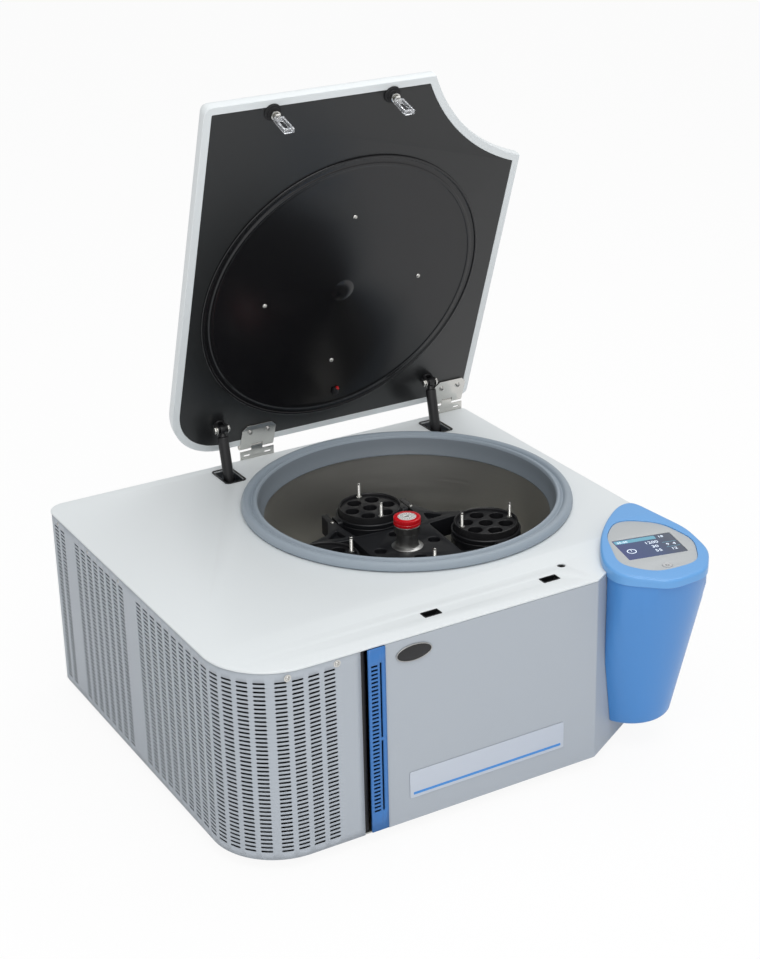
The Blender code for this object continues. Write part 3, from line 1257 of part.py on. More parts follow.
def build_pod(cab):
    """Control pod: housing, cap, fascia, screen and button."""
    high = DECK_HEIGHT - CAP_SEAM - GAP
    depth = high - POD_FOOT

    outline = cap_outline()

    def tapered(inset, low, top):
        slope = (POD_RADIUS - POD_FOOT_RADIUS) / depth
        bottom = POD_FOOT_RADIUS - inset + slope * (low - POD_FOOT)
        crown = POD_FOOT_RADIUS - inset + slope * (top - POD_FOOT)
        cone = moved(cylinder(bottom, low, top, 48, top=crown), x=POD_X, y=POD_Y)
        under = plate(inset_loop(outline, POD_TUCK + inset), low - 0.01, top + 0.01)
        cone = combined(cone, under, "INTERSECT")
        return combined(cone, plate(inset_loop(cabinet_outline(), -GAP - inset), low - 0.02, top + 0.02))

    housing = tapered(0.0, POD_FOOT, high)
    space = tapered(POD_WALL, POD_FOOT + POD_WALL, high + 0.01)
    place("pod_housing", combined(housing, space), PLASTIC_BLUE, cab)

    low = DECK_HEIGHT - CAP_SEAM
    top = DECK_HEIGHT + CAP_RISE
    cap = rounded_plate(outline, low, top, CAP_ROUND)
    seat = plate(inset_loop(cabinet_outline(), -GAP), low - 0.01, DECK_HEIGHT + GAP)
    cap = combined(cap, seat)
    inner = plate(inset_loop(outline, CAP_WALL), low - 0.01, top - FASCIA_SHEET - CAP_WALL)
    behind = plate(inset_loop(cabinet_outline(), -GAP - CAP_WALL), low - 0.02, top)
    cap = combined(cap, combined(inner, behind))
    face = fascia_outline()
    floor = top - FASCIA_DEPTH - FASCIA_SHEET
    cap = combined(cap, plate(inset_loop(face, -GAP), floor, top + 0.01))
    well = moved(cylinder(BUTTON_RADIUS + GAP, floor - 0.0035, top, 24), x=BUTTON_X, y=BUTTON_Y)
    cap = combined(cap, well)
    place("pod_cap", cap, PLASTIC_PALE_BLUE, cab)

    low = floor + GAP
    high = low + FASCIA_SHEET
    turn = Matrix.Rotation(SCREEN_TURN, 2)
    half_x = SCREEN_WIDTH / 2
    half_y = SCREEN_HEIGHT / 2
    window = [tuple(turn @ Vector(p) + Vector((SCREEN_X, SCREEN_Y)))
              for p in rectangle(-half_x, -half_y, half_x, half_y, 0.002, 2)]
    holes = [window, circle(BUTTON_X, BUTTON_Y, BUTTON_RADIUS + GAP, 24)]
    place("pod_fascia", plate(face, low, high, holes), PLASTIC_PALE, cab)
    screen = plate(inset_loop(window, GAP), low, low + SCREEN_SHEET)
    place("pod_screen", screen, GLASS_DARK, cab)
    axis = empty("button_axis", (BUTTON_X, BUTTON_Y, high), parent=cab)
    button = cylinder(BUTTON_RADIUS, -BUTTON_DEPTH, BUTTON_RISE, 24, top=BUTTON_RADIUS - 2 * GAP)
    place("power_button", button, PLASTIC_PALE, axis, smooth=True)


def fascia_outline():
    """Rounded outline of the grey fascia in the pod's cap."""
    return rounded([(CAP_RIGHT + x, y, radius) for x, y, radius in FASCIA_CORNERS], 5)


def build_plate(cab):
    """Bare name plate on the front panel."""
    front = -GAP
    name = plate(rectangle(*PLATE_LOW, *PLATE_HIGH, 0.002, 2), -front, -front + PLATE_THICK)
    place("name_plate", turned_to(name, math.pi / 2, "X"), PLASTIC_PALE, cab)


def main():
    clear_scene()
    cab = empty("frame_origin", (-MIDDLE_X, -MIDDLE_Y, FOOT_HEIGHT))
    build_base(cab)
    build_strip(cab)
    build_panels(cab)
    build_deck(cab)
    build_chamber(cab)
    build_drive(cab)
    build_rotor(cab)
    build_lid(cab)
    build_hinge_bases(cab)
    build_struts(cab)
    build_locks(cab)
    build_bay(cab)
    build_pod(cab)
    build_plate(cab)
    cutters = bpy.data.collections.get(CUTTERS)
    bpy.data.collections.remove(cutters)


main()
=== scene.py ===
"""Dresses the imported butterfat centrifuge: fine grille, rotor, lid, pod and stage."""

import math

import bmesh
import bpy
import numpy as np
from bpy.props import FloatProperty, FloatVectorProperty, IntProperty, PointerProperty
from mathutils import Matrix, Vector
from mathutils.geometry import tessellate_polygon


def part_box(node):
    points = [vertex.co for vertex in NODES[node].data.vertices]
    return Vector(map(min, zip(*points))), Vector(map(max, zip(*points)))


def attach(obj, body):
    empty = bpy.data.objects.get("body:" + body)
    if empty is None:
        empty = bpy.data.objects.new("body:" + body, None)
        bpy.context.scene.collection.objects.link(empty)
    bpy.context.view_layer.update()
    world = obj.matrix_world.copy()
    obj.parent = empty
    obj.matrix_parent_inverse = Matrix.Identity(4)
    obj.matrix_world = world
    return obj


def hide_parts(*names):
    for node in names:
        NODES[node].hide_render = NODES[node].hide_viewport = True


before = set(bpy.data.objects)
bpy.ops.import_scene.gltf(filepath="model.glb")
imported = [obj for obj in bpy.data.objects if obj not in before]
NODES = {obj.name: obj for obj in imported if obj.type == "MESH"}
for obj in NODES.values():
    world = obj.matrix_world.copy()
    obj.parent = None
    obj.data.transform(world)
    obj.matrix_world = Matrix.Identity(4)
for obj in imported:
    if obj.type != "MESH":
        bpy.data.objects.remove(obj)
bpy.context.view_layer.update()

bl_info = {
    "name": "Butterfat centrifuge",
    "version": (1, 0, 0),
    "blender": (4, 5, 0),
    "location": "3D View > Sidebar > Centrifuge",
    "description": "Builds the visible pieces and finishes of a bench-top butterfat centrifuge",
    "category": "Object",
}

# The cabinet's own frame: x from its left face, y from its front, z from the panels' lower edge
DECK_BOX = np.array(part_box("top_deck"))
SEAL_BOX = np.array(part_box("chamber_seal"))
ORIGIN = np.array([DECK_BOX[0][0], DECK_BOX[0][1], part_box("base_pan")[0][2]])
WIDTH, DEPTH, DECK = (DECK_BOX[1] - ORIGIN).tolist()
BOWL = ((SEAL_BOX[0] + SEAL_BOX[1]) / 2 - ORIGIN)[:2]
PANEL_TOP = DECK - 0.0033

# Plan of the cabinet and the grille's slots
GRILLE_FRONT = 0.1665
STRIP_START = 0.1750
STRIP_END = 0.1990
CORNER_FRONT = 0.090
CORNER_BACK = 0.026
NOSE_START = WIDTH - 0.177
NOSE_DEPTH = 0.102
NOSE_ANGLE = math.atan2(NOSE_DEPTH, 0.177)
SLOT_PITCH = 0.0214
SLOT_TIP = 0.42
SLOT_SPAN = (0.0105, 0.2440)
LOUVRE = 0.0031
SLOT_GROUPS = ((0.0343, 4), (0.1245, 14), (0.4599, 8), (0.6612, 2))
PATH_FLAT = GRILLE_FRONT - CORNER_FRONT
PATH_SIDE = PATH_FLAT + CORNER_FRONT * math.pi / 2
PATH_BACK = PATH_SIDE + DEPTH - CORNER_FRONT - CORNER_BACK
PATH_END = PATH_BACK + CORNER_BACK * math.pi / 2

# Rotor, measured from its pivots
ROTOR_TURN = math.radians(-5.0)
PIVOT_RADIUS = 0.125
PIVOT_HEIGHT = 0.183973
BOWL_RADIUS = 0.203473
BOWL_FLOOR = 0.085
KNOB_TOP = DECK - 0.025

# Lid, in x, distance from the hinge and height over its inner face
HINGE_Y = DEPTH + 0.0048
HINGE_Z = DECK + 0.0185
LID_OPEN = math.radians(70.4)
LID_LEFT = BOWL[0] - 0.247
LID_RIGHT = WIDTH + 0.005
LID_FRONT = HINGE_Y - 0.0178
LID_BACK = 0.0055
LID_FACE = -0.0025
LID_SEAT = LID_FACE - 0.0003
LID_TOP = 0.0235
ARC = (WIDTH + 0.098, -0.105)
SIDES = ("left", "right")
HINGE_XS = (BOWL[0] - 0.1045, BOWL[0] + 0.2240)
LATCH_XS = (BOWL[0] - 0.1500, BOWL[0] + 0.0270)
LATCH_Y = 0.0360
STRUT_XS = (BOWL[0] - 0.1725, BOWL[0] + 0.1774)
STRUT_U = 0.0565
STRUT_V = -0.0140
STRUT_FOOT = (HINGE_Y - 0.0714, HINGE_Z - 0.1305)

# Control pod
POD = (WIDTH - 0.086, 0.047)
CAP_RIGHT = WIDTH - 0.003
CAP_CORNERS = ((-0.017, 0.142), (0.001, 0.042), (-0.010, -0.018), (-0.046, -0.0600),
               (-0.106, -0.0640), (-0.155, -0.018))
CAP_EASE = 0.028
CAP_BACK = 0.150
CAP_SLOPE = 0.060
SIGHT = np.array([1.136, 2.0, -1.0])
FASCIA_CORNERS = ((-0.150, -0.015, 0.030), (-0.121, -0.060, 0.030), (-0.057, -0.0625, 0.022),
                  (-0.021, -0.005, 0.050), (-0.027, 0.062, 0.040), (-0.073, 0.103, 0.022),
                  (-0.114, 0.064, 0.030))
SCREEN = (WIDTH - 0.085, 0.0111)
SCREEN_TURN = math.radians(-12.5)
BUTTON = (WIDTH - 0.100, -0.048)


def linear(red, green, blue):
    """Colour as seen on a screen, 0 to 255, as the shader's own numbers."""
    return tuple((c / 255) ** 2.2 for c in (red, green, blue))


def colour_setting(name, description, *screen):
    return FloatVectorProperty(name=name, description=description, subtype="COLOR", min=0, max=1,
                               default=linear(*screen))


def length_setting(name, description, metres):
    return FloatProperty(name=name, description=description, default=metres, unit="LENGTH")


class CabinetSettings(bpy.types.PropertyGroup):
    deck_colour: colour_setting("Deck", "Paint of the deck and the lid's shell", 222, 227, 229)
    panel_colour: colour_setting("Panels", "Paint of the grille and the panels", 172, 179, 187)
    strip_colour: colour_setting("Vent strip", "Blue of the strip beside the grille", 58, 116, 184)
    slot_rows: IntProperty(name="Slot rows", description="Rows of slots in the grille",
                           default=42, min=8, max=60)
    slot_height: length_setting("Slot height", "Open height of one slot", 0.0029)
    slot_length: length_setting("Slot length", "Length of one slot", 0.0158)
    sheet: length_setting("Sheet", "Thickness of the grille's sheet", 0.0012)


class ChamberSettings(bpy.types.PropertyGroup):
    seal_colour: colour_setting("Seal", "Rubber of the chamber's seal", 144, 155, 165)
    steel_colour: colour_setting("Bowl", "Brushed steel of the bowl", 206, 205, 200)
    steps: IntProperty(name="Steps", description="Faces round the bowl and the seal",
                       default=144, min=48, max=256)


class RotorSettings(bpy.types.PropertyGroup):
    coat_colour: colour_setting("Rotor", "Dark coating of the rotor and its inserts", 34, 35, 38)
    knob_colour: colour_setting("Knob", "Red of the rotor's knob", 206, 22, 34)
    tube_radius: length_setting("Tube bore", "Radius of one tube bore", 0.0104)


class LidSettings(bpy.types.PropertyGroup):
    liner_colour: colour_setting("Liner", "Black of the lid's inner face", 34, 35, 36)
    edge_radius: length_setting("Edge", "Rounding of the lid's outer edge", 0.018)


class PodSettings(bpy.types.PropertyGroup):
    body_colour: colour_setting("Pod", "Blue of the pod's housing", 72, 136, 204)
    cap_colour: colour_setting("Cap", "Lighter blue of the pod's cap", 102, 161, 220)
    fascia_colour: colour_setting("Fascia", "Grey of the pod's fascia", 178, 182, 184)
    screen_colour: colour_setting("Screen", "Dark blue of the display", 46, 78, 132)


class StageSettings(bpy.types.PropertyGroup):
    floor_size: length_setting("Floor", "Side of the square floor", 14.0)
    key_power: FloatProperty(name="Key light", description="Power of the large upper light in watts",
                             default=33.0, min=0)
    fill_power: FloatProperty(name="Fill light", description="Power of the front left light in watts",
                              default=8.0, min=0)
    world_level: FloatProperty(name="World", description="Strength of the even light all round",
                               default=0.62, min=0)


# Places on the object

def cabinet(points):
    """Points given in the cabinet's own frame, moved to the part's frame."""
    return np.asarray(points, float) + ORIGIN


def on_lid(points):
    """Lid points (x, -u, v) turned open about the hinge and moved to the part's frame."""
    points = np.asarray(points, float)
    c, s = math.cos(LID_OPEN), math.sin(LID_OPEN)
    y = points[:, 1] * c + points[:, 2] * s + HINGE_Y
    z = -points[:, 1] * s + points[:, 2] * c + HINGE_Z
    return cabinet(np.stack([points[:, 0], y, z], 1))


def spun(points, angle):
    """Points turned about the upright axis by an angle."""
    points = np.asarray(points, float)
    c, s = math.cos(angle), math.sin(angle)
    return np.stack([points[:, 0] * c - points[:, 1] * s, points[:, 0] * s + points[:, 1] * c,
                     points[:, 2]], 1)


def on_rotor(points):
    """Points about the spindle (along the first bucket, across, up), in the part's frame."""
    return cabinet(spun(points, ROTOR_TURN) + (BOWL[0], BOWL[1], 0))


def on_bucket(number):
    """Place of one bucket: points round its pivot (outward, tangent, up) to the part's frame."""
    return lambda points: on_rotor(spun(np.asarray(points) + (PIVOT_RADIUS, 0, PIVOT_HEIGHT),
                                        number * math.pi / 2))


def in_bowl(points):
    """Points about the bowl's axis with heights from the deck's top, in the part's frame."""
    return cabinet(np.asarray(points, float) + (BOWL[0], BOWL[1], DECK))


def swapped(points, *axes):
    """Points with their axes in another order, counted from 1, a negative one turned round."""
    points = np.asarray(points, float)
    return np.stack([math.copysign(1, axis) * points[:, abs(axis) - 1] for axis in axes], 1)


def facing(*axes):
    """Place of a face in the cabinet's frame, for points given as two along it and one outward."""
    return lambda points: swapped(points, *axes)


FRONT, LEFT, REAR, RIGHT = facing(1, -3, 2), facing(-3, 1, 2), facing(-1, 3, 2), facing(3, 1, 2)


# Shapes worked out with numpy

class Shape:
    """Points and faces of one or more surfaces, gathered before the mesh is made."""

    def __init__(self):
        self.points = []
        self.faces = []
        self.flat = []
        self.count = 0

    def add(self, points, faces, flat=False):
        points = np.asarray(points, float)
        for block in faces:
            block = np.atleast_2d(block) + self.count
            self.faces += [tuple(row) for row in block.tolist()]
            self.flat += [flat] * len(block)
        self.points.append(points)
        self.count += len(points)
        return self

    def join(self, *others):
        for other in others:
            self.faces += [tuple(i + self.count for i in face) for face in other.faces]
            self.flat += other.flat
            self.points += other.points
            self.count += other.count
        return self

    def placed(self, place):
        """The same faces on points carried through a place function, or moved by an offset."""
        move = place if callable(place) else (lambda points: points + place)
        copy = Shape()
        copy.points = [move(np.concatenate(self.points))]
        copy.faces, copy.flat, copy.count = list(self.faces), list(self.flat), self.count
        return copy

    def turned(self, axis, angle):
        matrix = np.array(Matrix.Rotation(angle, 3, axis))
        return self.placed(lambda points: points @ matrix.T)

    def mesh(self, name, closed=True):
        data = bpy.data.meshes.new(name)
        data.from_pydata(np.concatenate(self.points), [], self.faces)
        data.polygons.foreach_set("use_smooth", [not flat for flat in self.flat])
        bm = bmesh.new()
        bm.from_mesh(data)
        bmesh.ops.remove_doubles(bm, verts=bm.verts, dist=1e-6)
        if closed:
            bmesh.ops.recalc_face_normals(bm, faces=bm.faces)
        bm.to_mesh(data)
        bm.free()
        return data


def grid_faces(rows, columns, wrap=False):
    """Quads of a grid of rows by columns points, joined round in columns when wrap is set."""
    i, j = np.meshgrid(np.arange(rows - 1), np.arange(columns if wrap else columns - 1), indexing="ij")
    k = (j + 1) % columns
    return np.stack([i * columns + j, i * columns + k, (i + 1) * columns + k, (i + 1) * columns + j],
                    -1).reshape(-1, 4)


def revolve(profile, steps=48, closed=False, flutes=0, flute_depth=0.0):
    """Profile of (radius, height) carried round z: x = r cos t, y = r sin t, less shallow flutes."""
    profile = np.asarray(profile, float)
    if closed:
        profile = np.concatenate([profile, profile[:1]])
    t = np.linspace(0, math.tau, steps, endpoint=False)
    radius = profile[:, 0, None] * (1 - flute_depth * (1 + np.cos(flutes * t)) / 2)
    points = np.stack([radius * np.cos(t), radius * np.sin(t),
                       np.repeat(profile[:, 1, None], steps, 1)], -1).reshape(-1, 3)
    return Shape().add(points, [grid_faces(len(profile), steps, wrap=True)])


def rod(start, end, radius, steps=16, bevel=0.0004):
    """Round bar between two points: a profile with cut rims carried round the line that joins them."""
    start, end = np.asarray(start, float), np.asarray(end, float)
    length = float(np.linalg.norm(end - start))
    profile = [(0, 0), (radius - bevel, 0), (radius, bevel), (radius, length - bevel),
               (radius - bevel, length), (0, length)]
    turn = np.array(Vector((0, 0, 1)).rotation_difference(Vector(end - start)).to_matrix())
    return revolve(profile, steps).placed(lambda points: points @ turn.T + start)


def arc(x, y, radius, start, end, steps):
    """Points on a circle from one angle in degrees to another."""
    t = np.radians(np.linspace(start, end, steps + 1))
    return np.stack([x + radius * np.cos(t), y + radius * np.sin(t)], 1)


def circle(x, y, radius, steps=32):
    return arc(x, y, radius, 0, 360, steps)[:-1]


def fillet(before, here, after, radius, steps=6):
    """Arc that rounds the corner between two straight runs of an outline."""
    here = np.asarray(here, float)
    if radius <= 0:
        return here[None]
    a = np.asarray(before, float) - here
    b = np.asarray(after, float) - here
    a /= np.linalg.norm(a)
    b /= np.linalg.norm(b)
    half = math.acos(max(-1.0, min(1.0, float(a @ b)))) / 2
    middle = here + (a + b) / np.linalg.norm(a + b) * (radius / math.sin(half))
    first = here + a * (radius / math.tan(half)) - middle
    last = here + b * (radius / math.tan(half)) - middle
    turn = math.atan2(first[0] * last[1] - first[1] * last[0], float(first @ last))
    t = np.linspace(0, turn, steps + 1)
    return middle + np.stack([first[0] * np.cos(t) - first[1] * np.sin(t),
                              first[0] * np.sin(t) + first[1] * np.cos(t)], 1)


def rounded(corners, steps=6):
    """Closed outline through corners given as x, y, radius."""
    count = len(corners)
    runs = [fillet(corners[i - 1][:2], corners[i][:2], corners[(i + 1) % count][:2], corners[i][2], steps)
            for i in range(count)]
    return np.concatenate(runs)


def rectangle(x0, y0, x1, y1, radius=0.0, steps=4):
    return rounded([(x0, y0, radius), (x1, y0, radius), (x1, y1, radius), (x0, y1, radius)], steps)


def inset(loop, distance):
    """Outline moved inward along the bisector of its sides' normals, or outward if negative."""
    loop = np.asarray(loop, float)
    following = np.roll(loop, -1, 0)
    area = np.sum(loop[:, 0] * following[:, 1] - following[:, 0] * loop[:, 1])
    side = following - loop
    side /= np.linalg.norm(side, axis=1, keepdims=True)
    normal = np.stack([-side[:, 1], side[:, 0]], 1) * (1 if area > 0 else -1)
    middle = normal + np.roll(normal, 1, 0)
    return loop + middle * (2 * distance / np.sum(middle ** 2, 1, keepdims=True))


def loft(loops, heights):
    """Outlines of equal count stacked at their heights, with a flat cap at each end."""
    count = len(loops[0])
    points = np.concatenate([np.column_stack([loop, np.full(count, z)]) for loop, z in zip(loops, heights)])
    shape = Shape().add(points, [grid_faces(len(loops), count, wrap=True)])
    for loop, z in ((loops[0], heights[0]), (loops[-1], heights[-1])):
        shape.add(np.column_stack([loop, np.full(count, z)]), [fill([loop])], flat=True)
    return shape


def fill(loops):
    """Triangles over the first outline less the others, numbered through all their points."""
    return np.array(tessellate_polygon([[Vector((x, y, 0)) for x, y in loop] for loop in loops]))


def plate(outline, low, high, holes=(), edge=0.0005, lower=None, steps=3, floor=None, rim=None):
    """Sheet with holes: rings at every outline step round a quarter circle, and the caps are filled.

    With a floor height the holes are blind and end there. A rim gives the holes an edge of their own.
    """
    lower = edge if lower is None else lower
    rim = edge if rim is None else rim
    t = np.linspace(0, math.pi / 2, steps + 1)
    shape = Shape()
    tops, bottoms = [], []
    for number, loop in enumerate([outline, *holes]):
        sign, upper = (-1, rim) if number else (1, edge)
        insets = np.concatenate([lower * (1 - np.sin(t)), upper * (1 - np.cos(t))])
        levels = np.concatenate([low + lower * (1 - np.cos(t)), high - upper * (1 - np.sin(t))])
        blind = number and floor is not None
        if blind:
            insets = np.append(0.0, insets[steps + 1:])
            levels = np.append(floor, levels[steps + 1:])
        rings = [inset(loop, sign * distance) for distance in insets]
        points = [np.column_stack([ring, np.full(len(loop), z)]) for ring, z in zip(rings, levels)]
        shape.add(np.concatenate(points), [grid_faces(len(rings), len(loop), wrap=True)])
        tops.append(rings[-1])
        if blind:
            shape.add(points[0], [fill([rings[0]])], flat=True)
        else:
            bottoms.append(rings[0])
    for loops, z in ((tops, high), (bottoms, low)):
        joined = np.concatenate(loops)
        shape.add(np.column_stack([joined, np.full(len(joined), z)]), [fill(loops)], flat=True)
    return shape


def softened(profile, rounds=2, closed=True):
    """Profile with its corners cut at a quarter of each side, again and again."""
    points = np.asarray(profile, float)
    for _ in range(rounds):
        after = np.roll(points, -1, 0) if closed else points[1:]
        before = points if closed else points[:-1]
        cut = np.stack([before * 0.75 + after * 0.25, before * 0.25 + after * 0.75], 1).reshape(-1, 2)
        points = cut if closed else np.concatenate([points[:1], cut, points[-1:]])
    return points


def upright(shape):
    """A plate's plan (x, z) stood up, its thickness along y."""
    return shape.placed(lambda points: swapped(points, 1, 3, 2))


def sideways(shape):
    """A plate's plan (y, z) stood up, its thickness along x."""
    return shape.placed(lambda points: swapped(points, 3, 1, 2))


def screw(radius, rise):
    """Domed screw head with a round socket: the dome is a quarter of an ellipse."""
    t = np.linspace(0, math.pi / 2, 5)
    hole = radius * 0.45
    dome = np.stack([hole + (radius - hole) * np.cos(t), rise * np.sin(t)], 1)
    return revolve([(0, 0), *dome, (hole, rise * 0.35), (0, rise * 0.30)], 20)


def washer(outer, inner, thickness):
    profile = [(inner, 0), (outer, 0), (outer, thickness), (inner, thickness)]
    return revolve(softened(profile, 1), 28, closed=True)


def thread(crest, root, start, pitch, count):
    """Profile of a threaded rod, stepping between its root and its crest."""
    turns = np.arange(count)
    return np.stack([np.where(turns % 2, crest, root), start + turns * pitch], 1)


def around(shape, count):
    """Copies of a shape set evenly round the upright axis."""
    return Shape().join(*(shape.placed(lambda points: spun(points, number * math.tau / count))
                          for number in range(count)))


# Finishes

MOTTLE_SCALE = 9.0
FINE_SHARE = 0.45


def feed(tree, node, inputs):
    """Inputs of a node by name or number: each a plain value, or the output that drives it."""
    for key, value in dict(inputs).items():
        if isinstance(value, bpy.types.NodeSocket):
            tree.links.new(value, node.inputs[key])
        else:
            node.inputs[key].default_value = value


def shader_node(tree, kind, inputs=(), **settings):
    """New shader node with its settings, then its inputs."""
    node = tree.nodes.new("ShaderNode" + kind)
    for key, value in settings.items():
        setattr(node, key, value)
    feed(tree, node, inputs)
    return node


def material(name, colour, roughness, metallic=0.0, sockets=()):
    """New finish with its uniform numbers on the shader's own sockets."""
    found = bpy.data.materials.new(name)
    found.use_nodes = True
    feed(found.node_tree, found.node_tree.nodes["Principled BSDF"],
         {"Base Color": (*colour, 1), "Roughness": roughness, "Metallic": metallic, **dict(sockets)})
    return found


def noise(tree, vector, scale, detail=2.0):
    inputs = {"Scale": scale, "Detail": detail, "Vector": vector}
    return shader_node(tree, "TexNoise", inputs).outputs["Fac"]


def stretched(tree, stretch=(1, 1, 1), centre=(0, 0, 0)):
    """Object coordinates about a centre, scaled along each axis."""
    place = shader_node(tree, "TexCoord").outputs["Object"]
    inputs = {"Location": [-c * s for c, s in zip(centre, stretch)], "Scale": stretch, "Vector": place}
    return shader_node(tree, "Mapping", inputs).outputs["Vector"]


def round_bowl(tree, slow=2.0, fast=600.0):
    """Coordinates that run slowly round the bowl's axis and fast across it, for turned streaks."""
    centre = cabinet([[*BOWL, 0]])[0]
    place = shader_node(tree, "SeparateXYZ", {0: stretched(tree, centre=centre)}).outputs
    flat = shader_node(tree, "CombineXYZ", {"X": place["X"], "Y": place["Y"]}).outputs[0]
    length = shader_node(tree, "VectorMath", {0: flat}, operation="LENGTH").outputs["Value"]
    heading = shader_node(tree, "VectorMath", {0: flat}, operation="NORMALIZE").outputs[0]
    total = shader_node(tree, "Math", {0: length, 1: place["Z"]}).outputs[0]
    rise = shader_node(tree, "Math", {0: total, 1: fast / slow}, operation="MULTIPLY").outputs[0]
    across = shader_node(tree, "SeparateXYZ", {0: heading}).outputs
    result = shader_node(tree, "CombineXYZ", {"X": across["X"], "Y": across["Y"], "Z": rise}).outputs[0]
    return shader_node(tree, "VectorMath", {0: result, "Scale": slow}, operation="SCALE").outputs[0]


def finish(name, colour, roughness, metallic=0.0, grain=900.0, depth=0.00002, spread=0.03, polish=0.04,
           stretch=(1, 1, 1), vector=None, sockets=()):
    """Finish whose colour drifts with a broad noise, and whose gloss and relief follow a fine one."""
    found = material(name, colour, roughness, metallic, sockets)
    tree = found.node_tree
    fine = noise(tree, vector(tree) if vector else stretched(tree, stretch), 1.0 if vector else grain)
    broad = noise(tree, stretched(tree), MOTTLE_SCALE, 3.0)
    share = shader_node(tree, "Math", {0: broad, 1: 1 - FINE_SHARE}, operation="MULTIPLY").outputs[0]
    blend = shader_node(tree, "Math", {0: fine, 1: FINE_SHARE, 2: share}, operation="MULTIPLY_ADD")
    ends = [(*(min(1.0, max(0.0, c * (1 + way * spread))) for c in colour), 1) for way in (-1, 1)]
    mix = shader_node(tree, "Mix", {"A": ends[0], "B": ends[1], "Factor": blend.outputs[0]},
                      data_type="RGBA")
    gloss = shader_node(tree, "MapRange", {"Value": fine, "To Min": max(0.02, roughness - polish),
                                           "To Max": roughness + polish})
    bump = shader_node(tree, "Bump", {"Strength": 0.6, "Distance": depth, "Height": fine})
    feed(tree, tree.nodes["Principled BSDF"],
         {"Base Color": mix.outputs["Result"], "Roughness": gloss.outputs["Result"],
          "Normal": bump.outputs["Normal"]})
    return found


FINISHES = {}
SMOOTH_ANGLE = math.radians(35.0)
FLOOR_GLOW = 0.92


def finishes():
    """The part's finishes by name, made once."""
    if FINISHES:
        return FINISHES
    scene = bpy.context.scene
    body, bowl, rotor = scene.centrifuge_cabinet, scene.centrifuge_chamber, scene.centrifuge_rotor
    lid, pod = scene.centrifuge_lid, scene.centrifuge_pod
    black = linear(26, 26, 28)
    coat = {"Coat Weight": 0.15, "Coat Roughness": 0.2}
    table = dict(
        deck_paint=(body.deck_colour, 0.36, dict(grain=700, spread=0.012)),
        panel_paint=(body.panel_colour, 0.42, dict(grain=1100, depth=0.00003, spread=0.02)),
        strip_plastic=(body.strip_colour, 0.40, dict(grain=1500)),
        seal_rubber=(bowl.seal_colour, 0.46, dict(grain=1300, depth=0.00003, spread=0.04)),
        # inner lip: the seal's own rubber darkened, painted shade where the lip turns down into the bowl
        seal_painted_shade=(tuple(c * 0.58 for c in bowl.seal_colour), 0.50,
                   dict(grain=1300, depth=0.00003, spread=0.05)),
        bowl_steel=(bowl.steel_colour, 0.46,
                    dict(metallic=1.0, depth=0.000012, spread=0.10, polish=0.08, vector=round_bowl)),
        rotor_coat=(rotor.coat_colour, 0.40, dict(metallic=0.25, grain=1900, spread=0.12, polish=0.07)),
        insert_plastic=(linear(30, 30, 32), 0.36, dict(grain=1400, spread=0.10)),
        knob_plastic=(rotor.knob_colour, 0.28,
                      dict(spread=0.05, sockets={"Coat Weight": 0.3, "Coat Roughness": 0.12})),
        white_label=(linear(232, 232, 230), 0.45, dict(grain=1600, spread=0.02)),
        black_print=(linear(40, 40, 42), 0.5, dict(grain=1600, spread=0.05)),
        liner_black=(lid.liner_colour, 0.30, dict(grain=800, depth=0.00003, spread=0.06)),
        ring_black=(linear(24, 24, 26), 0.20, dict(grain=500, depth=0.00001, spread=0.06)),
        black_plastic=(black, 0.42, dict(grain=1600, depth=0.00003, spread=0.10)),
        black_rubber=(black, 0.72, dict(grain=1300, depth=0.00005, spread=0.12)),
        # near-black pad behind the grille: painted shade in the bay seen through the slots
        slot_shade_black=(linear(24, 25, 27), 0.95, dict(grain=700, depth=0.0004, spread=0.35)),
        bright_steel=(linear(205, 204, 200), 0.24,
                      dict(metallic=1.0, grain=1.0, spread=0.08, polish=0.06, stretch=(90, 2200, 2200))),
        plain_steel=(linear(176, 176, 174), 0.32, dict(metallic=1.0, grain=1800, spread=0.10)),
        dark_steel=(linear(78, 79, 82), 0.45, dict(metallic=0.6, grain=1200, spread=0.12)),
        zinc=(linear(186, 186, 180), 0.42, dict(metallic=1.0, grain=140, spread=0.14, polish=0.10)),
        aluminium=(linear(180, 181, 184), 0.38,
                   dict(metallic=1.0, grain=1.0, spread=0.16, stretch=(30, 900, 30))),
        pod_blue=(pod.body_colour, 0.34, dict(grain=1200, spread=0.02, sockets=coat)),
        cap_blue=(pod.cap_colour, 0.30,
                  dict(grain=1200, spread=0.02, sockets={**coat, "Coat Roughness": 0.15})),
        fascia_grey=(pod.fascia_colour, 0.44, dict(grain=2200, depth=0.00003)),
        pale_plastic=(linear(186, 188, 190), 0.40, dict(grain=1500)),
        plate_metal=(linear(196, 203, 214), 0.36,
                     dict(metallic=0.35, grain=1.0, spread=0.05, stretch=(60, 1800, 1800))),
        plate_blue=(linear(70, 140, 214), 0.32, dict(grain=1500)),
        board_green=(linear(34, 92, 60), 0.45, dict(spread=0.10)),
        clear_plastic=(linear(236, 238, 242), 0.08,
                       dict(grain=500, depth=0.00001, spread=0.01, polish=0.03,
                            sockets={"Transmission Weight": 0.86, "IOR": 1.47})),
        red_lens=(linear(190, 20, 24), 0.20, dict(spread=0.06, sockets={"Transmission Weight": 0.25})),
    )
    for name, (colour, roughness, options) in table.items():
        FINISHES[name] = finish(name, colour, roughness, **options)
    FINISHES["display"] = display_finish(pod.screen_colour)
    FINISHES["display_light"] = glowing("display_light", linear(214, 226, 240), 0.55)
    FINISHES["display_bar"] = glowing("display_bar", linear(94, 148, 168), 0.35)
    return FINISHES


def glowing(name, colour, strength):
    """Finish for the lit marks of the display."""
    return finish(name, colour, 0.25, grain=2500, spread=0.04,
                  sockets={"Emission Color": (*colour, 1), "Emission Strength": strength})


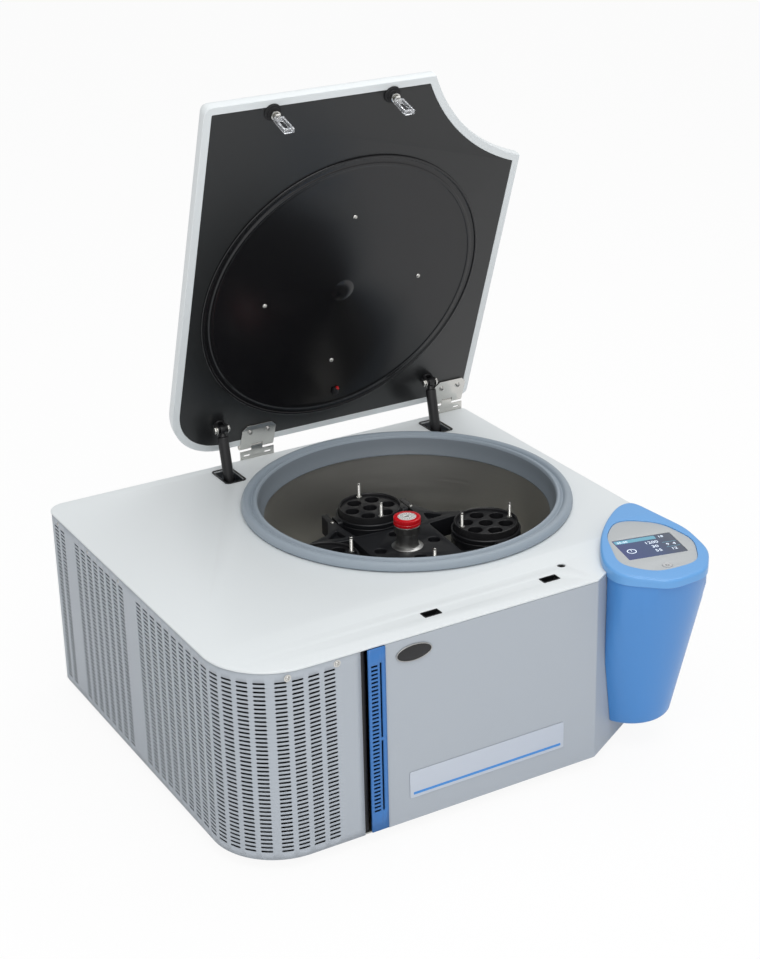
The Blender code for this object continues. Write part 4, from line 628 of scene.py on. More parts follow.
def display_finish(colour):
    """Display glass: its glow runs from dark slate at the right to violet at the lower left."""
    found = finish("display", tuple(c * 0.25 for c in colour), 0.12, grain=1500, spread=0.05,
                   sockets={"Coat Weight": 0.8, "Coat Roughness": 0.05, "Emission Strength": 0.42})
    tree = found.node_tree
    split = shader_node(tree, "SeparateXYZ", {0: stretched(tree, (12, 16, 1), cabinet([[*SCREEN, 0]])[0])})
    across = shader_node(tree, "MapRange", {"Value": split.outputs["X"], "From Min": -0.5, "From Max": 0.5})
    ramp = shader_node(tree, "ValToRGB", {"Fac": across.outputs["Result"]})
    first, last = ramp.color_ramp.elements
    first.color, last.color = (*linear(84, 88, 156), 1), (*linear(44, 56, 66), 1)
    ramp.color_ramp.elements.new(0.62).color = (*colour, 1)
    feed(tree, tree.nodes["Principled BSDF"], {"Emission Color": ramp.outputs["Color"]})
    return found


def piece(name, shape, place, finish_name, body, node=None, closed=True, solid=0.0,
          inward=False):
    """Object of a placed shape: finished, riding a body, and standing for a CAD node if one is named."""
    data = shape.placed(place).mesh(name, closed)
    if not len(data.polygons):
        raise RuntimeError(f"{name} has no faces")
    data.set_sharp_from_angle(angle=SMOOTH_ANGLE)
    data.materials.append(finishes()[finish_name])
    item = bpy.data.objects.new(name, data)
    bpy.context.scene.collection.objects.link(item)
    if solid:
        wall = item.modifiers.new("wall", "SOLIDIFY")
        wall.thickness = solid
        wall.offset = 1.0 if inward else -1.0
    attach(item, body)
    if node:
        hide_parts(node)
    return item


def dress(finish_name, *names):
    """Finish of the named CAD nodes, which keep their shape."""
    for name in names:
        slots = NODES[name].data.materials
        slots.clear()
        slots.append(finishes()[finish_name])


# Outlines that the CAD and the looks share

def cabinet_outline(distance=0.0, steps=16):
    """Plan of the cabinet moved inward: round front-left corner, cut-off front-right one."""
    nose = distance * math.tan(NOSE_ANGLE / 2)
    side = distance / math.tan((math.pi / 2 + NOSE_ANGLE) / 2)
    return rounded([(distance, distance, CORNER_FRONT - distance), (NOSE_START - nose, distance, 0.006),
                    (WIDTH - distance, NOSE_DEPTH + side, 0.006),
                    (WIDTH - distance, DEPTH - distance, 0.006),
                    (distance, DEPTH - distance, CORNER_BACK - distance)], steps)


def cut_corner_arc(radius, x_limit, y_limit, steps):
    """Arc about the pod's shared centre, from a front line to a side line."""
    start = math.degrees(math.acos((x_limit - ARC[0]) / radius))
    end = 180.0 - math.degrees(math.asin((y_limit - ARC[1]) / radius))
    return arc(*ARC, radius, start, end, steps)


def lid_outline(distance=0.0):
    """Plan of the lid moved inward: x, and y back from the hinge axis."""
    left, right = LID_LEFT + distance, LID_RIGHT - distance
    front, back = -LID_FRONT + distance, -LID_BACK - distance
    hollow = cut_corner_arc(0.288 + distance, right, HINGE_Y + front, 28)[::-1] - (0, HINGE_Y)
    return np.concatenate([
        fillet((left, back), (left, front), hollow[0], max(0.012 - distance, 0.002), 8), hollow,
        fillet(hollow[-1], (right, back), (left, back), max(0.009 - distance, 0.002), 8),
        fillet((right, back), (left, back), (left, front), 0.085 - distance, 20)])


def grille_place(s, z, distance=0.0008):
    """Point at s along the grille from its front end: flat, quarter arc, side, quarter arc, rear."""
    a = np.clip((s - PATH_FLAT) / CORNER_FRONT, 0, math.pi / 2)
    b = np.clip((s - PATH_BACK) / CORNER_BACK, 0, math.pi / 2)
    x = np.where(s < PATH_BACK, CORNER_FRONT * (1 - np.sin(a)) + np.maximum(PATH_FLAT - s, 0),
                 CORNER_BACK * (1 - np.cos(b)) + np.maximum(s - PATH_END, 0))
    y = np.where(s < PATH_BACK,
                 CORNER_FRONT * (1 - np.cos(a)) + np.clip(s - PATH_SIDE, 0, PATH_BACK - PATH_SIDE),
                 DEPTH - CORNER_BACK * (1 - np.sin(b)))
    normal_x = np.where(s < PATH_BACK, -np.sin(a), -np.cos(b))
    normal_y = np.where(s < PATH_BACK, -np.cos(a), np.sin(b))
    return np.stack([x - normal_x * distance, y - normal_y * distance, z], -1)


def between(edges, step):
    """Grid lines at the edges, with more where they lie far apart."""
    runs = [np.linspace(a, b, max(1, math.ceil((b - a) / step)) + 1)[:-1] for a, b in zip(edges, edges[1:])]
    return np.append(np.concatenate(runs), edges[-1])


def grille_shape(settings):
    """Grille: a grid of slots whose ends are points, laid along the wrap-around path."""
    height, length = settings.slot_height, settings.slot_length
    tip = height * SLOT_TIP
    starts = np.concatenate([first + SLOT_PITCH * np.arange(count) for first, count in SLOT_GROUPS])
    edges = np.concatenate([[0.0], *([a, a + tip, a + length / 2, a + length - tip, a + length]
                                     for a in starts), [PATH_END, PATH_END + 0.020]])
    across = between(np.unique(edges), 0.009)
    low = np.linspace(*SLOT_SPAN, settings.slot_rows)
    upward = np.unique(np.concatenate([[0.0, PANEL_TOP], low, low + height / 2, low + height]))
    s, z = np.meshgrid(across, upward, indexing="ij")
    corners = grid_faces(*s.shape)[:, [0, 3, 2, 1]].reshape(len(across) - 1, len(upward) - 1, 4)
    away = (across[1:] + across[:-1])[:, None] / 2 - starts - length / 2
    nearest = np.abs(away).argmin(1)
    inside = np.abs(away).min(1)
    kind = np.where(inside > length / 2, 0, np.where(inside < length / 2 - tip, 2, 1))
    left_end = away[np.arange(len(away)), nearest] < 0
    rise = (upward[1:] + upward[:-1])[:, None] / 2 - low
    in_row = (rise > 0) & (rise < height)
    upper = (in_row & (rise > height / 2)).any(1)
    in_row = in_row.any(1)
    shape = Shape().add(grille_place(s, z).reshape(-1, 3), [corners[~((kind[:, None] > 0) & in_row)]])
    for at_left, at_top, keep in ((True, True, [0, 2, 3]), (True, False, [0, 1, 3]),
                                  (False, True, [1, 2, 3]), (False, False, [0, 1, 2])):
        cells = ((kind == 1) & (left_end == at_left))[:, None] & (in_row & (upper == at_top))
        shape.faces += corners[cells][:, keep].tolist()
    shape.flat = [False] * len(shape.faces)
    return shape


def strip_shape():
    """Vent strip: 38 short louvres beside two runs of one long slot."""
    low = 0.030 + 0.0055 * np.arange(38)
    upward = np.unique(np.concatenate([[0.0023, PANEL_TOP], low, low + LOUVRE, [0.1305, 0.1343, 0.2385]]))
    across = np.array([STRIP_START, 0.1787, 0.1882, 0.1908, 0.1936, STRIP_END])
    s, z = np.meshgrid(across, upward, indexing="ij")
    x, height = np.meshgrid((across[1:] + across[:-1]) / 2, (upward[1:] + upward[:-1]) / 2, indexing="ij")
    rise = height[..., None] - low
    short = (x > 0.1787) & (x < 0.1882) & ((rise > 0) & (rise < LOUVRE)).any(-1)
    run = ((height > 0.030) & (height < 0.1305)) | ((height > 0.1343) & (height < 0.2385))
    closed = ~(short | ((x > 0.1908) & (x < 0.1936) & run))
    points = np.stack([s, np.zeros_like(s), z], -1).reshape(-1, 3)
    return Shape().add(points, [grid_faces(*s.shape)[closed.ravel()]])


def front_screw(x, z):
    """Panel fastener: washer and domed head."""
    ring = washer(0.0048, 0.0, 0.0007).placed((0, 0, -0.0001))
    head = screw(0.0030, 0.0016).placed((0, 0, 0.0005))
    return Shape().join(ring, head).placed((x, z, 0.0))


class CENTRIFUGE_OT_cabinet(bpy.types.Operator):
    """Grille, vent strip, deck, panels, plates and the screws on them"""

    bl_idname = "centrifuge.cabinet"
    bl_label = "Cabinet"

    def execute(self, context):
        settings = context.scene.centrifuge_cabinet
        piece("grille", grille_shape(settings), cabinet, "panel_paint", "cabinet", "side_grille",
              closed=False, solid=settings.sheet, inward=True)
        piece("louvre_strip", strip_shape(), cabinet, "strip_plastic", "cabinet", "vent_strip",
              closed=False, solid=0.0024)
        # black pad behind the grille's slots: painted shade
        self.slot_shade_pad()
        # black block sunk in the gap between grille and vent strip: painted shade of that recess
        recess_block = plate(rectangle(GRILLE_FRONT + 0.0005, 0.004, STRIP_START - 0.0004, 0.012, 0.002), 0.0023,
                     PANEL_TOP, edge=0.0004)
        piece("recess_shade_block", recess_block, cabinet, "black_plastic", "cabinet")
        self.deck()
        self.plates()
        self.screws()
        dress("panel_paint", "front_panel", "right_panel", "rear_panel")
        dress("black_plastic", "power_entry")
        dress("knob_plastic", "mains_switch")
        dress("zinc", "base_pan")
        dress("black_rubber", "foot_front_left", "foot_front_right", "foot_back_left", "foot_back_right")
        return {"FINISHED"}

    def slot_shade_pad(self):
        """Black pad along the wrap-around grille, painted shade that darkens the bay seen through the
        slots, its pleats as deep as a sine of s.
        """
        s, z = np.meshgrid(np.arange(0.004, PATH_END + 0.012, 0.0021), [0.007, 0.130, PANEL_TOP - 0.004],
                           indexing="ij")
        pad = grille_place(s, z, 0.0046 + 0.0007 * np.sin(s * math.tau / 0.0084))
        shape = Shape().add(pad.reshape(-1, 3), [grid_faces(*s.shape)])
        piece("slot_shade_pad", shape, cabinet, "slot_shade_black", "cabinet", closed=False, solid=0.001)

    def deck(self):
        """Deck sheet with its holes, and the black trims in them."""
        latch = [rectangle(x - 0.0125, LATCH_Y - 0.007, x + 0.0125, LATCH_Y + 0.007, 0.0015)
                 for x in LATCH_XS]
        strut = [rectangle(x - 0.01425, HINGE_Y - 0.0728, x + 0.01425, HINGE_Y - 0.0228, 0.004)
                 for x in STRUT_XS]
        hole = (BOWL[0] + 0.0619, LATCH_Y + 0.0238)
        holes = [circle(*BOWL, BOWL_RADIUS + 0.0185, 120), *latch, circle(*hole, 0.0055, 24), *strut]
        deck = plate(cabinet_outline(steps=24), DECK - 0.003, DECK, holes, edge=0.0009)
        piece("deck_sheet", deck, cabinet, "deck_paint", "cabinet", "top_deck")
        trims = Shape()
        for loop in latch:
            trims.join(plate(inset(loop, 0.0002), DECK - 0.004, DECK + 0.0003, [inset(loop, 0.0012)],
                             edge=0.0002))
        for loop in strut:
            trims.join(plate(inset(loop, -0.0022), DECK + 0.0002, DECK + 0.0012, [inset(loop, 0.0006)],
                             edge=0.0003))
        trims.join(plate(circle(*hole, 0.0052, 24), DECK - 0.006, DECK - 0.0016,
                         [circle(*hole, 0.0036, 20)], edge=0.0003))
        piece("slot_trims", trims, cabinet, "black_plastic", "cabinet")

    def plates(self):
        """Name plate left bare but for a plain blue band, and the oval badge's dark face in its rim."""
        low, high = (0.2310, 0.0320), (0.4640, 0.0700)
        base = plate(rectangle(*low, *high, 0.002), 0.0003, 0.0011, edge=0.0003)
        piece("plate_base", base.placed(FRONT), cabinet, "plate_metal", "cabinet", "name_plate")
        band = plate(rectangle(0.2360, 0.0365, 0.4590, 0.0400, 0.0008), 0.0010, 0.0013, edge=0.0001)
        piece("plate_band", band.placed(FRONT), cabinet, "plate_blue", "cabinet")
        centre = np.array([0.240, 0.238])
        oval = circle(0, 0, 1.0, 48) * (0.0255, 0.0115) + centre
        rim = plate(oval, 0.0003, 0.0017, [inset(oval, 0.0013)], edge=0.0004)
        piece("badge_rim", rim.placed(FRONT), cabinet, "plain_steel", "cabinet")
        rings = [oval * k + centre * (1 - k) for k in (0.955, 0.95, 0.8, 0.5, 0.02)]
        face = loft(rings, [0.0003, 0.0010, 0.00125, 0.0015, 0.0016])
        piece("badge_face", face.placed(FRONT), cabinet, "ring_black", "cabinet")

    def screws(self):
        """Fasteners of the panels: on washers at the front and left, in two rows at the rear and right."""
        heads = Shape()
        for place, sunk, along in ((FRONT, 0.0008, (0.068, 0.1345)), (LEFT, 0.0022, (0.346, 0.450, 0.556))):
            heads.join(*(front_screw(x, 0.2525).placed((0, 0, -sunk)).placed(place) for x in along))
        for place, sign, out, along in ((REAR, -1, DEPTH, (0.060, 0.210, 0.360, 0.510, 0.660)),
                                        (RIGHT, 1, WIDTH, (0.130, 0.350, 0.575))):
            for x in along:
                heads.join(*(screw(0.0030, 0.0014).placed((sign * x, z, out)).placed(place)
                             for z in (0.012, 0.250)))
        piece("panel_screws", heads, cabinet, "bright_steel", "cabinet")


class CENTRIFUGE_OT_chamber(bpy.types.Operator):
    """Seal with its beads and a lip darkened with painted shade, brushed bowl, boot, motor, guard and lock
    housing
    """

    bl_idname = "centrifuge.chamber"
    bl_label = "Chamber"

    def execute(self, context):
        steps = context.scene.centrifuge_chamber.steps
        rise, low = 0.0125, -0.0160
        outer = BOWL_RADIUS + 0.0275
        collar = BOWL_RADIUS + 0.0170
        lip = BOWL_RADIUS - 0.0039
        beads = [(0.0000, 0.0003), (0.0004, rise - 0.0060), (0.0030, rise - 0.0012),
                 (0.0075, rise + 0.0002), (0.0115, rise - 0.0012), (0.0135, rise - 0.0044),
                 (0.0155, rise - 0.0044), (0.0175, rise - 0.0014), (0.0200, rise),
                 (0.0225, rise - 0.0016), (0.0234, rise - 0.0065), (0.0259, rise - 0.0165)]
        profile = [(outer - d, z) for d, z in beads]
        profile += [(lip + 0.0014, -0.0128), (lip + 0.0006, -0.0142), (lip + 0.0006, low),
                    (collar - 0.004, low), (collar, low + 0.0045), (collar, 0.0003)]
        seal = revolve(softened(profile, 2), steps, closed=True)
        piece("seal_ring", seal, in_bowl, "seal_rubber", "cabinet", "chamber_seal")
        # inner lip of the seal, finished in the seal's rubber darkened as painted shade
        profile = [(outer - 0.0233, rise - 0.0040), (outer - 0.0240, rise - 0.0065),
                   (outer - 0.0265, rise - 0.0165), (lip + 0.0008, -0.0128), (lip, -0.0142), (lip, low),
                   (lip + 0.0050, low), (outer - 0.0225, rise - 0.0165), (outer - 0.0215, rise - 0.0050)]
        skirt = revolve(softened(profile, 1), steps, closed=True)
        piece("seal_lip", skirt, in_bowl, "seal_painted_shade", "cabinet")
        floor = BOWL_FLOOR - DECK
        corner = arc(BOWL_RADIUS - 0.020, floor + 0.020, 0.020, 0, -90, 8)
        back = arc(BOWL_RADIUS - 0.020, floor + 0.020, 0.0215, -90, 0, 8)
        flange = low - 0.0003
        rim = BOWL_RADIUS + 0.0115
        profile = [(rim, flange), (BOWL_RADIUS, flange), *corner, (0.110, floor - 0.0002),
                   (0.0215, floor), (0.0200, floor - 0.0003), (0.0200, floor - 0.0015), *back,
                   (BOWL_RADIUS + 0.0015, flange - 0.0015), (rim, flange - 0.0015)]
        piece("bowl_wall", revolve(profile, steps, closed=True), in_bowl, "bowl_steel", "cabinet",
              "chamber_bowl")
        dress("black_rubber", "shaft_boot", "motor_mount")
        dress("dark_steel", "motor", "guard_ring", "lock_housing", "strut_bracket")
        return {"FINISHED"}


class CENTRIFUGE_OT_rotor(bpy.types.Operator):
    """Swing-out rotor: cross, collar, knob, and four buckets with tube inserts and posts"""

    bl_idname = "centrifuge.rotor"
    bl_label = "Rotor"

    def execute(self, context):
        self.cross()
        self.knob()
        self.buckets(context.scene.centrifuge_rotor.tube_radius)
        dress("plain_steel", "drive_spindle")
        return {"FINISHED"}

    def cross(self):
        """Cross of four arms with webs, ears and pins, pockets sunk in its upper face."""
        corner = [(0.0600, 0.0525, 0.004), (0.1030, 0.0585, 0.003), (0.1500, 0.0585, 0.0012),
                  (0.1500, 0.0675, 0.003), (0.1230, 0.0685, 0.006), (0.0850, 0.0850, 0.008),
                  (0.0685, 0.1230, 0.006), (0.0675, 0.1500, 0.003), (0.0585, 0.1500, 0.0012),
                  (0.0585, 0.1030, 0.003), (0.0525, 0.0600, 0.004)]
        pocket = [(0.0645, 0.0645, 0.003), (0.0925, 0.0690, 0.003), (0.0690, 0.0925, 0.003)]
        outline, pockets, pins, bolts = [], [], Shape(), Shape()
        for quarter in range(4):
            c, s = (1, 0, -1, 0)[quarter], (0, 1, 0, -1)[quarter]
            outline += [(x * c - y * s, x * s + y * c, r) for x, y, r in corner]
            pockets += [rounded([(x * c - y * s, x * s + y * c, r) for x, y, r in pocket], 4),
                        circle(0.0420 * c, 0.0420 * s, 0.0090, 28)]
        for side in (-1, 1):
            pins.join(rod((PIVOT_RADIUS, side * 0.0523, PIVOT_HEIGHT),
                          (PIVOT_RADIUS, side * 0.0630, PIVOT_HEIGHT), 0.0050, 20))
            bolts.join(screw(0.0028, 0.0014).placed((0.1190, side * 0.0630, PIVOT_HEIGHT + 0.0080)))
        low, high = PIVOT_HEIGHT - 0.021, PIVOT_HEIGHT + 0.008
        body = plate(rounded(outline, 5), low, high, pockets, edge=0.0012, floor=high - 0.007)
        body.join(around(pins, 4))
        piece("cross_casting", body, on_rotor, "rotor_coat", "rotor", "rotor_cross")
        piece("ear_bolts", around(bolts, 4), on_rotor, "bright_steel", "rotor")
        top = PIVOT_HEIGHT + 0.041
        collar = revolve([(0.0086, high - 0.001), (0.0086, top), (0.0176, top), (0.0183, top - 0.0007),
                          (0.0183, top - 0.0110), (0.0177, top - 0.0117), (0.0158, top - 0.0120),
                          (0.0154, top - 0.0128), (0.0154, high + 0.0060), (0.0170, high + 0.0022),
                          (0.0220, high + 0.0006), (0.0235, high - 0.001)], 64, closed=True)
        piece("rotor_collar", collar, on_rotor, "plain_steel", "rotor")

    def knob(self):
        """Red knob with shallow flutes, a white label and a plain ring of marks on it."""
        low = KNOB_TOP - 0.0115
        profile = [(0, low), (0.0185, low), (0.0195, low + 0.001), (0.0195, low + 0.0040),
                   (0.0190, low + 0.0046), (0.0195, low + 0.0052), (0.0195, KNOB_TOP - 0.0016),
                   (0.0191, KNOB_TOP - 0.0006), (0.0180, KNOB_TOP), (0.0140, KNOB_TOP),
                   (0.0136, KNOB_TOP - 0.0008), (0, KNOB_TOP - 0.0008)]
        body = revolve(profile, 120, flutes=30, flute_depth=0.012)
        piece("knob_body", body, on_rotor, "knob_plastic", "knob", "rotor_knob")
        label = revolve([(0, KNOB_TOP - 0.0009), (0.0130, KNOB_TOP - 0.0009), (0.0130, KNOB_TOP - 0.0004),
                         (0.0128, KNOB_TOP - 0.0002), (0, KNOB_TOP - 0.0002)], 64)
        piece("knob_label", label, on_rotor, "white_label", "knob")
        marks = Shape()
        level = KNOB_TOP - 0.00021
        for outer, inner in ((0.0118, 0.0113), (0.0066, 0.0061)):
            marks.join(plate(circle(0, 0, outer, 64), level, level + 0.0001, [circle(0, 0, inner, 64)],
                             edge=0.00002))
        tick = plate(rectangle(0.0076, -0.0004, 0.0102, 0.0004), level, level + 0.0001, edge=0.00002)
        arrow = plate([(-0.0038, -0.0010), (0.0006, -0.0010), (0.0006, -0.0028), (0.0042, 0.0),
                       (0.0006, 0.0028), (0.0006, 0.0010), (-0.0038, 0.0010)], level, level + 0.0001,
                      edge=0.00002)
        marks.join(around(tick, 16), arrow)
        piece("knob_marks", marks, on_rotor, "black_print", "knob")

    def buckets(self, bore):
        """Round buckets with a raised band and bored lugs, and their inserts of seven bores."""
        bottom = -0.0550
        outside = arc(0.0490 - 0.0130, bottom + 0.0130, 0.0130, -90, 0, 8)
        inside = arc(0.0468 - 0.0098, bottom + 0.0030 + 0.0098, 0.0098, 0, -90, 8)
        cup = revolve([(0.0468, 0.0092), *inside, (0.0040, bottom + 0.0030), (0.0040, bottom),
                       *outside, (0.0490, -0.0130), (0.0500, -0.0118), (0.0500, 0.0020),
                       (0.0494, 0.0026), (0.0494, 0.0034), (0.0500, 0.0040), (0.0500, 0.0090),
                       (0.0490, 0.0100), (0.0476, 0.0100)], 96, closed=True)
        lug_plan = rounded([(-0.0120, -0.0180, 0.004), (0.0120, -0.0180, 0.004), (0.0120, 0.0090, 0.004),
                            (-0.0120, 0.0090, 0.004)], 5)
        lug = plate(lug_plan, 0.0478, 0.0565, [circle(0, 0, 0.0056, 24)], edge=0.0008)
        cup.join(upright(lug), upright(lug).placed(lambda p: p * (1, -1, 1)))
        centres = [(0.0, 0.0)] + [(0.0285 * math.cos(a), 0.0285 * math.sin(a))
                                  for a in (np.arange(6) + 0.5) * math.tau / 6]
        insert = plate(circle(0, 0, 0.0446, 72), -0.0432, 0.0160,
                       [circle(x, y, bore, 28) for x, y in centres], edge=0.0007, floor=-0.0427)
        insert.join(revolve([(0.0446, -0.0300), (0.0462, -0.0300), (0.0462, 0.0190), (0.0459, 0.0197),
                             (0.0451, 0.0200), (0.0443, 0.0197), (0.0438, 0.0190), (0.0434, 0.0164),
                             (0.0434, 0.0150)], 96, closed=True))
        stud = [(0, 0.0150), *thread(0.00245, 0.00205, 0.0160, 0.00048, 46), (0.0023, 0.0380),
                (0.0024, 0.0392), (0.0014, 0.0400), (0, 0.0400)]
        nut = plate(circle(0, 0, 0.0044, 6), 0.0158, 0.0188, edge=0.0004)
        posts = Shape()
        for x in (-0.0385, 0.0385):
            posts.join(revolve(stud, 14).placed((x, 0, 0)), nut.placed((x, 0, 0)))
        for number in range(4):
            place, body = on_bucket(number), f"bucket_{number + 1}"
            piece(f"bucket_cup_{number + 1}", cup, place, "rotor_coat", body, body)
            piece(f"insert_body_{number + 1}", insert, place, "insert_plastic", body,
                  f"tube_insert_{number + 1}")
            piece(f"insert_posts_{number + 1}", posts, place, "bright_steel", body)


class CENTRIFUGE_OT_lid(bpy.types.Operator):
    """Lid shell, liner, ring plate with its screws and sensor, and the clear latch loops on studs"""

    bl_idname = "centrifuge.lid"
    bl_label = "Lid"

    def execute(self, context):
        edge = context.scene.centrifuge_lid.edge_radius
        t = np.linspace(0, math.pi / 2, 9)
        loops = [lid_outline(d) for d in (0.011, 0.011, 0.0106, 0.0006, 0.0)]
        heights = [LID_TOP - 0.003, LID_FACE + 0.0004, LID_FACE, LID_FACE, LID_FACE + 0.0006]
        loops += [lid_outline(edge * (1 - math.cos(a))) for a in t]
        heights += (LID_TOP - edge + edge * np.sin(t)).tolist()
        piece("lid_case", loft(loops, heights), on_lid, "deck_paint", "lid", "lid_shell")
        liner = plate(lid_outline(0.0113), LID_FACE, LID_FACE + 0.003, edge=0.0003)
        piece("lid_lining", liner, on_lid, "liner_black", "lid", "lid_liner")
        centre = (BOWL[0], BOWL[1] - HINGE_Y, 0)
        high = LID_SEAT
        face, bead, outer = high - 0.0020, -0.0055, BOWL_RADIUS + 0.016
        inner = outer - 0.0035
        second = inner - 0.0075
        rims = softened([(outer, high), (outer, bead), (inner, bead), (inner - 0.0008, face + 0.0006),
                         (second + 0.0004, face + 0.0006), (second - 0.0008, bead),
                         (second - 0.0042, bead), (second - 0.0056, face), (second - 0.0120, face)],
                        2, closed=False)
        profile = [(0, high), *rims, (0.120, face), (0.0180, face), (0.0160, face - 0.0003),
                   (0.0140, face - 0.0010), (0.0060, face - 0.0014), (0, face - 0.0015)]
        piece("ring_plate", revolve(profile, 160).placed(centre), on_lid, "ring_black", "lid",
              "lid_ring_plate")
        heads = Shape()
        for turn in range(4):
            x, y = 0.1237 * math.cos(turn * math.pi / 2), 0.1237 * math.sin(turn * math.pi / 2)
            heads.join(screw(0.0034, 0.0020).placed(lambda p: p * (1, 1, -1) + (x, y, face)))
        piece("ring_screws", heads.placed(centre), on_lid, "bright_steel", "lid")
        self.sensor(face)
        self.latches(high)
        return {"FINISHED"}

    def sensor(self, face):
        """Small black clip with a red lens low on the ring plate."""
        x, y = BOWL[0] + 0.0157, -0.073
        clip = plate(rectangle(x - 0.0055, y - 0.007, x + 0.0040, y + 0.004, 0.0015), face - 0.0036,
                     face + 0.0001, edge=0.0006, lower=0.0008)
        piece("sensor_clip", clip, on_lid, "black_plastic", "lid")
        t = np.linspace(0, math.pi / 2, 6)
        lens = [(0, 0.001), (0.0026, 0.001), *np.stack([0.0026 * np.cos(t), -0.0045 * np.sin(t)], 1)[1:]]
        bulb = revolve(lens, 24).placed((x + 0.0022, y - 0.0062, face - 0.0006))
        piece("sensor_lens", bulb, on_lid, "red_lens", "lid")

    def latches(self, high):
        """Clear loops, each with a black grommet and a threaded stud with its washer and two nuts."""
        for x, side in zip(LATCH_XS, SIDES):
            place = (x, LATCH_Y - HINGE_Y, 0)
            outer = rectangle(-0.0075, -0.0520, 0.0075, high - 0.0165, 0.0018)
            inner = rectangle(-0.0046, -0.0468, 0.0046, high - 0.0215, 0.0012)
            loop = upright(plate(outer, -0.00275, 0.00275, [inner], edge=0.0007))
            piece(f"loop_clear_{side}", loop.placed(place), on_lid, "clear_plastic", "lid",
                  f"latch_loop_{side}")
            grommet = revolve([(0, high), (0.0120, high), (0.0120, high - 0.0012), (0.0110, high - 0.0024),
                               (0.0086, high - 0.0028), (0.0082, high - 0.0046), (0.0060, high - 0.0052),
                               (0, high - 0.0052)], 40)
            piece(f"loop_grommet_{side}", grommet.placed(place), on_lid, "black_rubber", "lid")
            cut = thread(0.0027, 0.0023, high - 0.0045, -0.0005, 34)
            bolt = revolve([(0, high - 0.0040), *cut, (0, high - 0.0212)], 20)
            bolt.join(plate(circle(0, 0, 0.0060, 6), high - 0.0096, high - 0.0056, edge=0.0006),
                      washer(0.0066, 0.0024, 0.0010).placed((0, 0, high - 0.0108)),
                      plate(circle(0, 0, 0.0056, 6), high - 0.0164, high - 0.0126, edge=0.0006))
            piece(f"loop_bolt_{side}", bolt.placed(place), on_lid, "bright_steel", "lid")


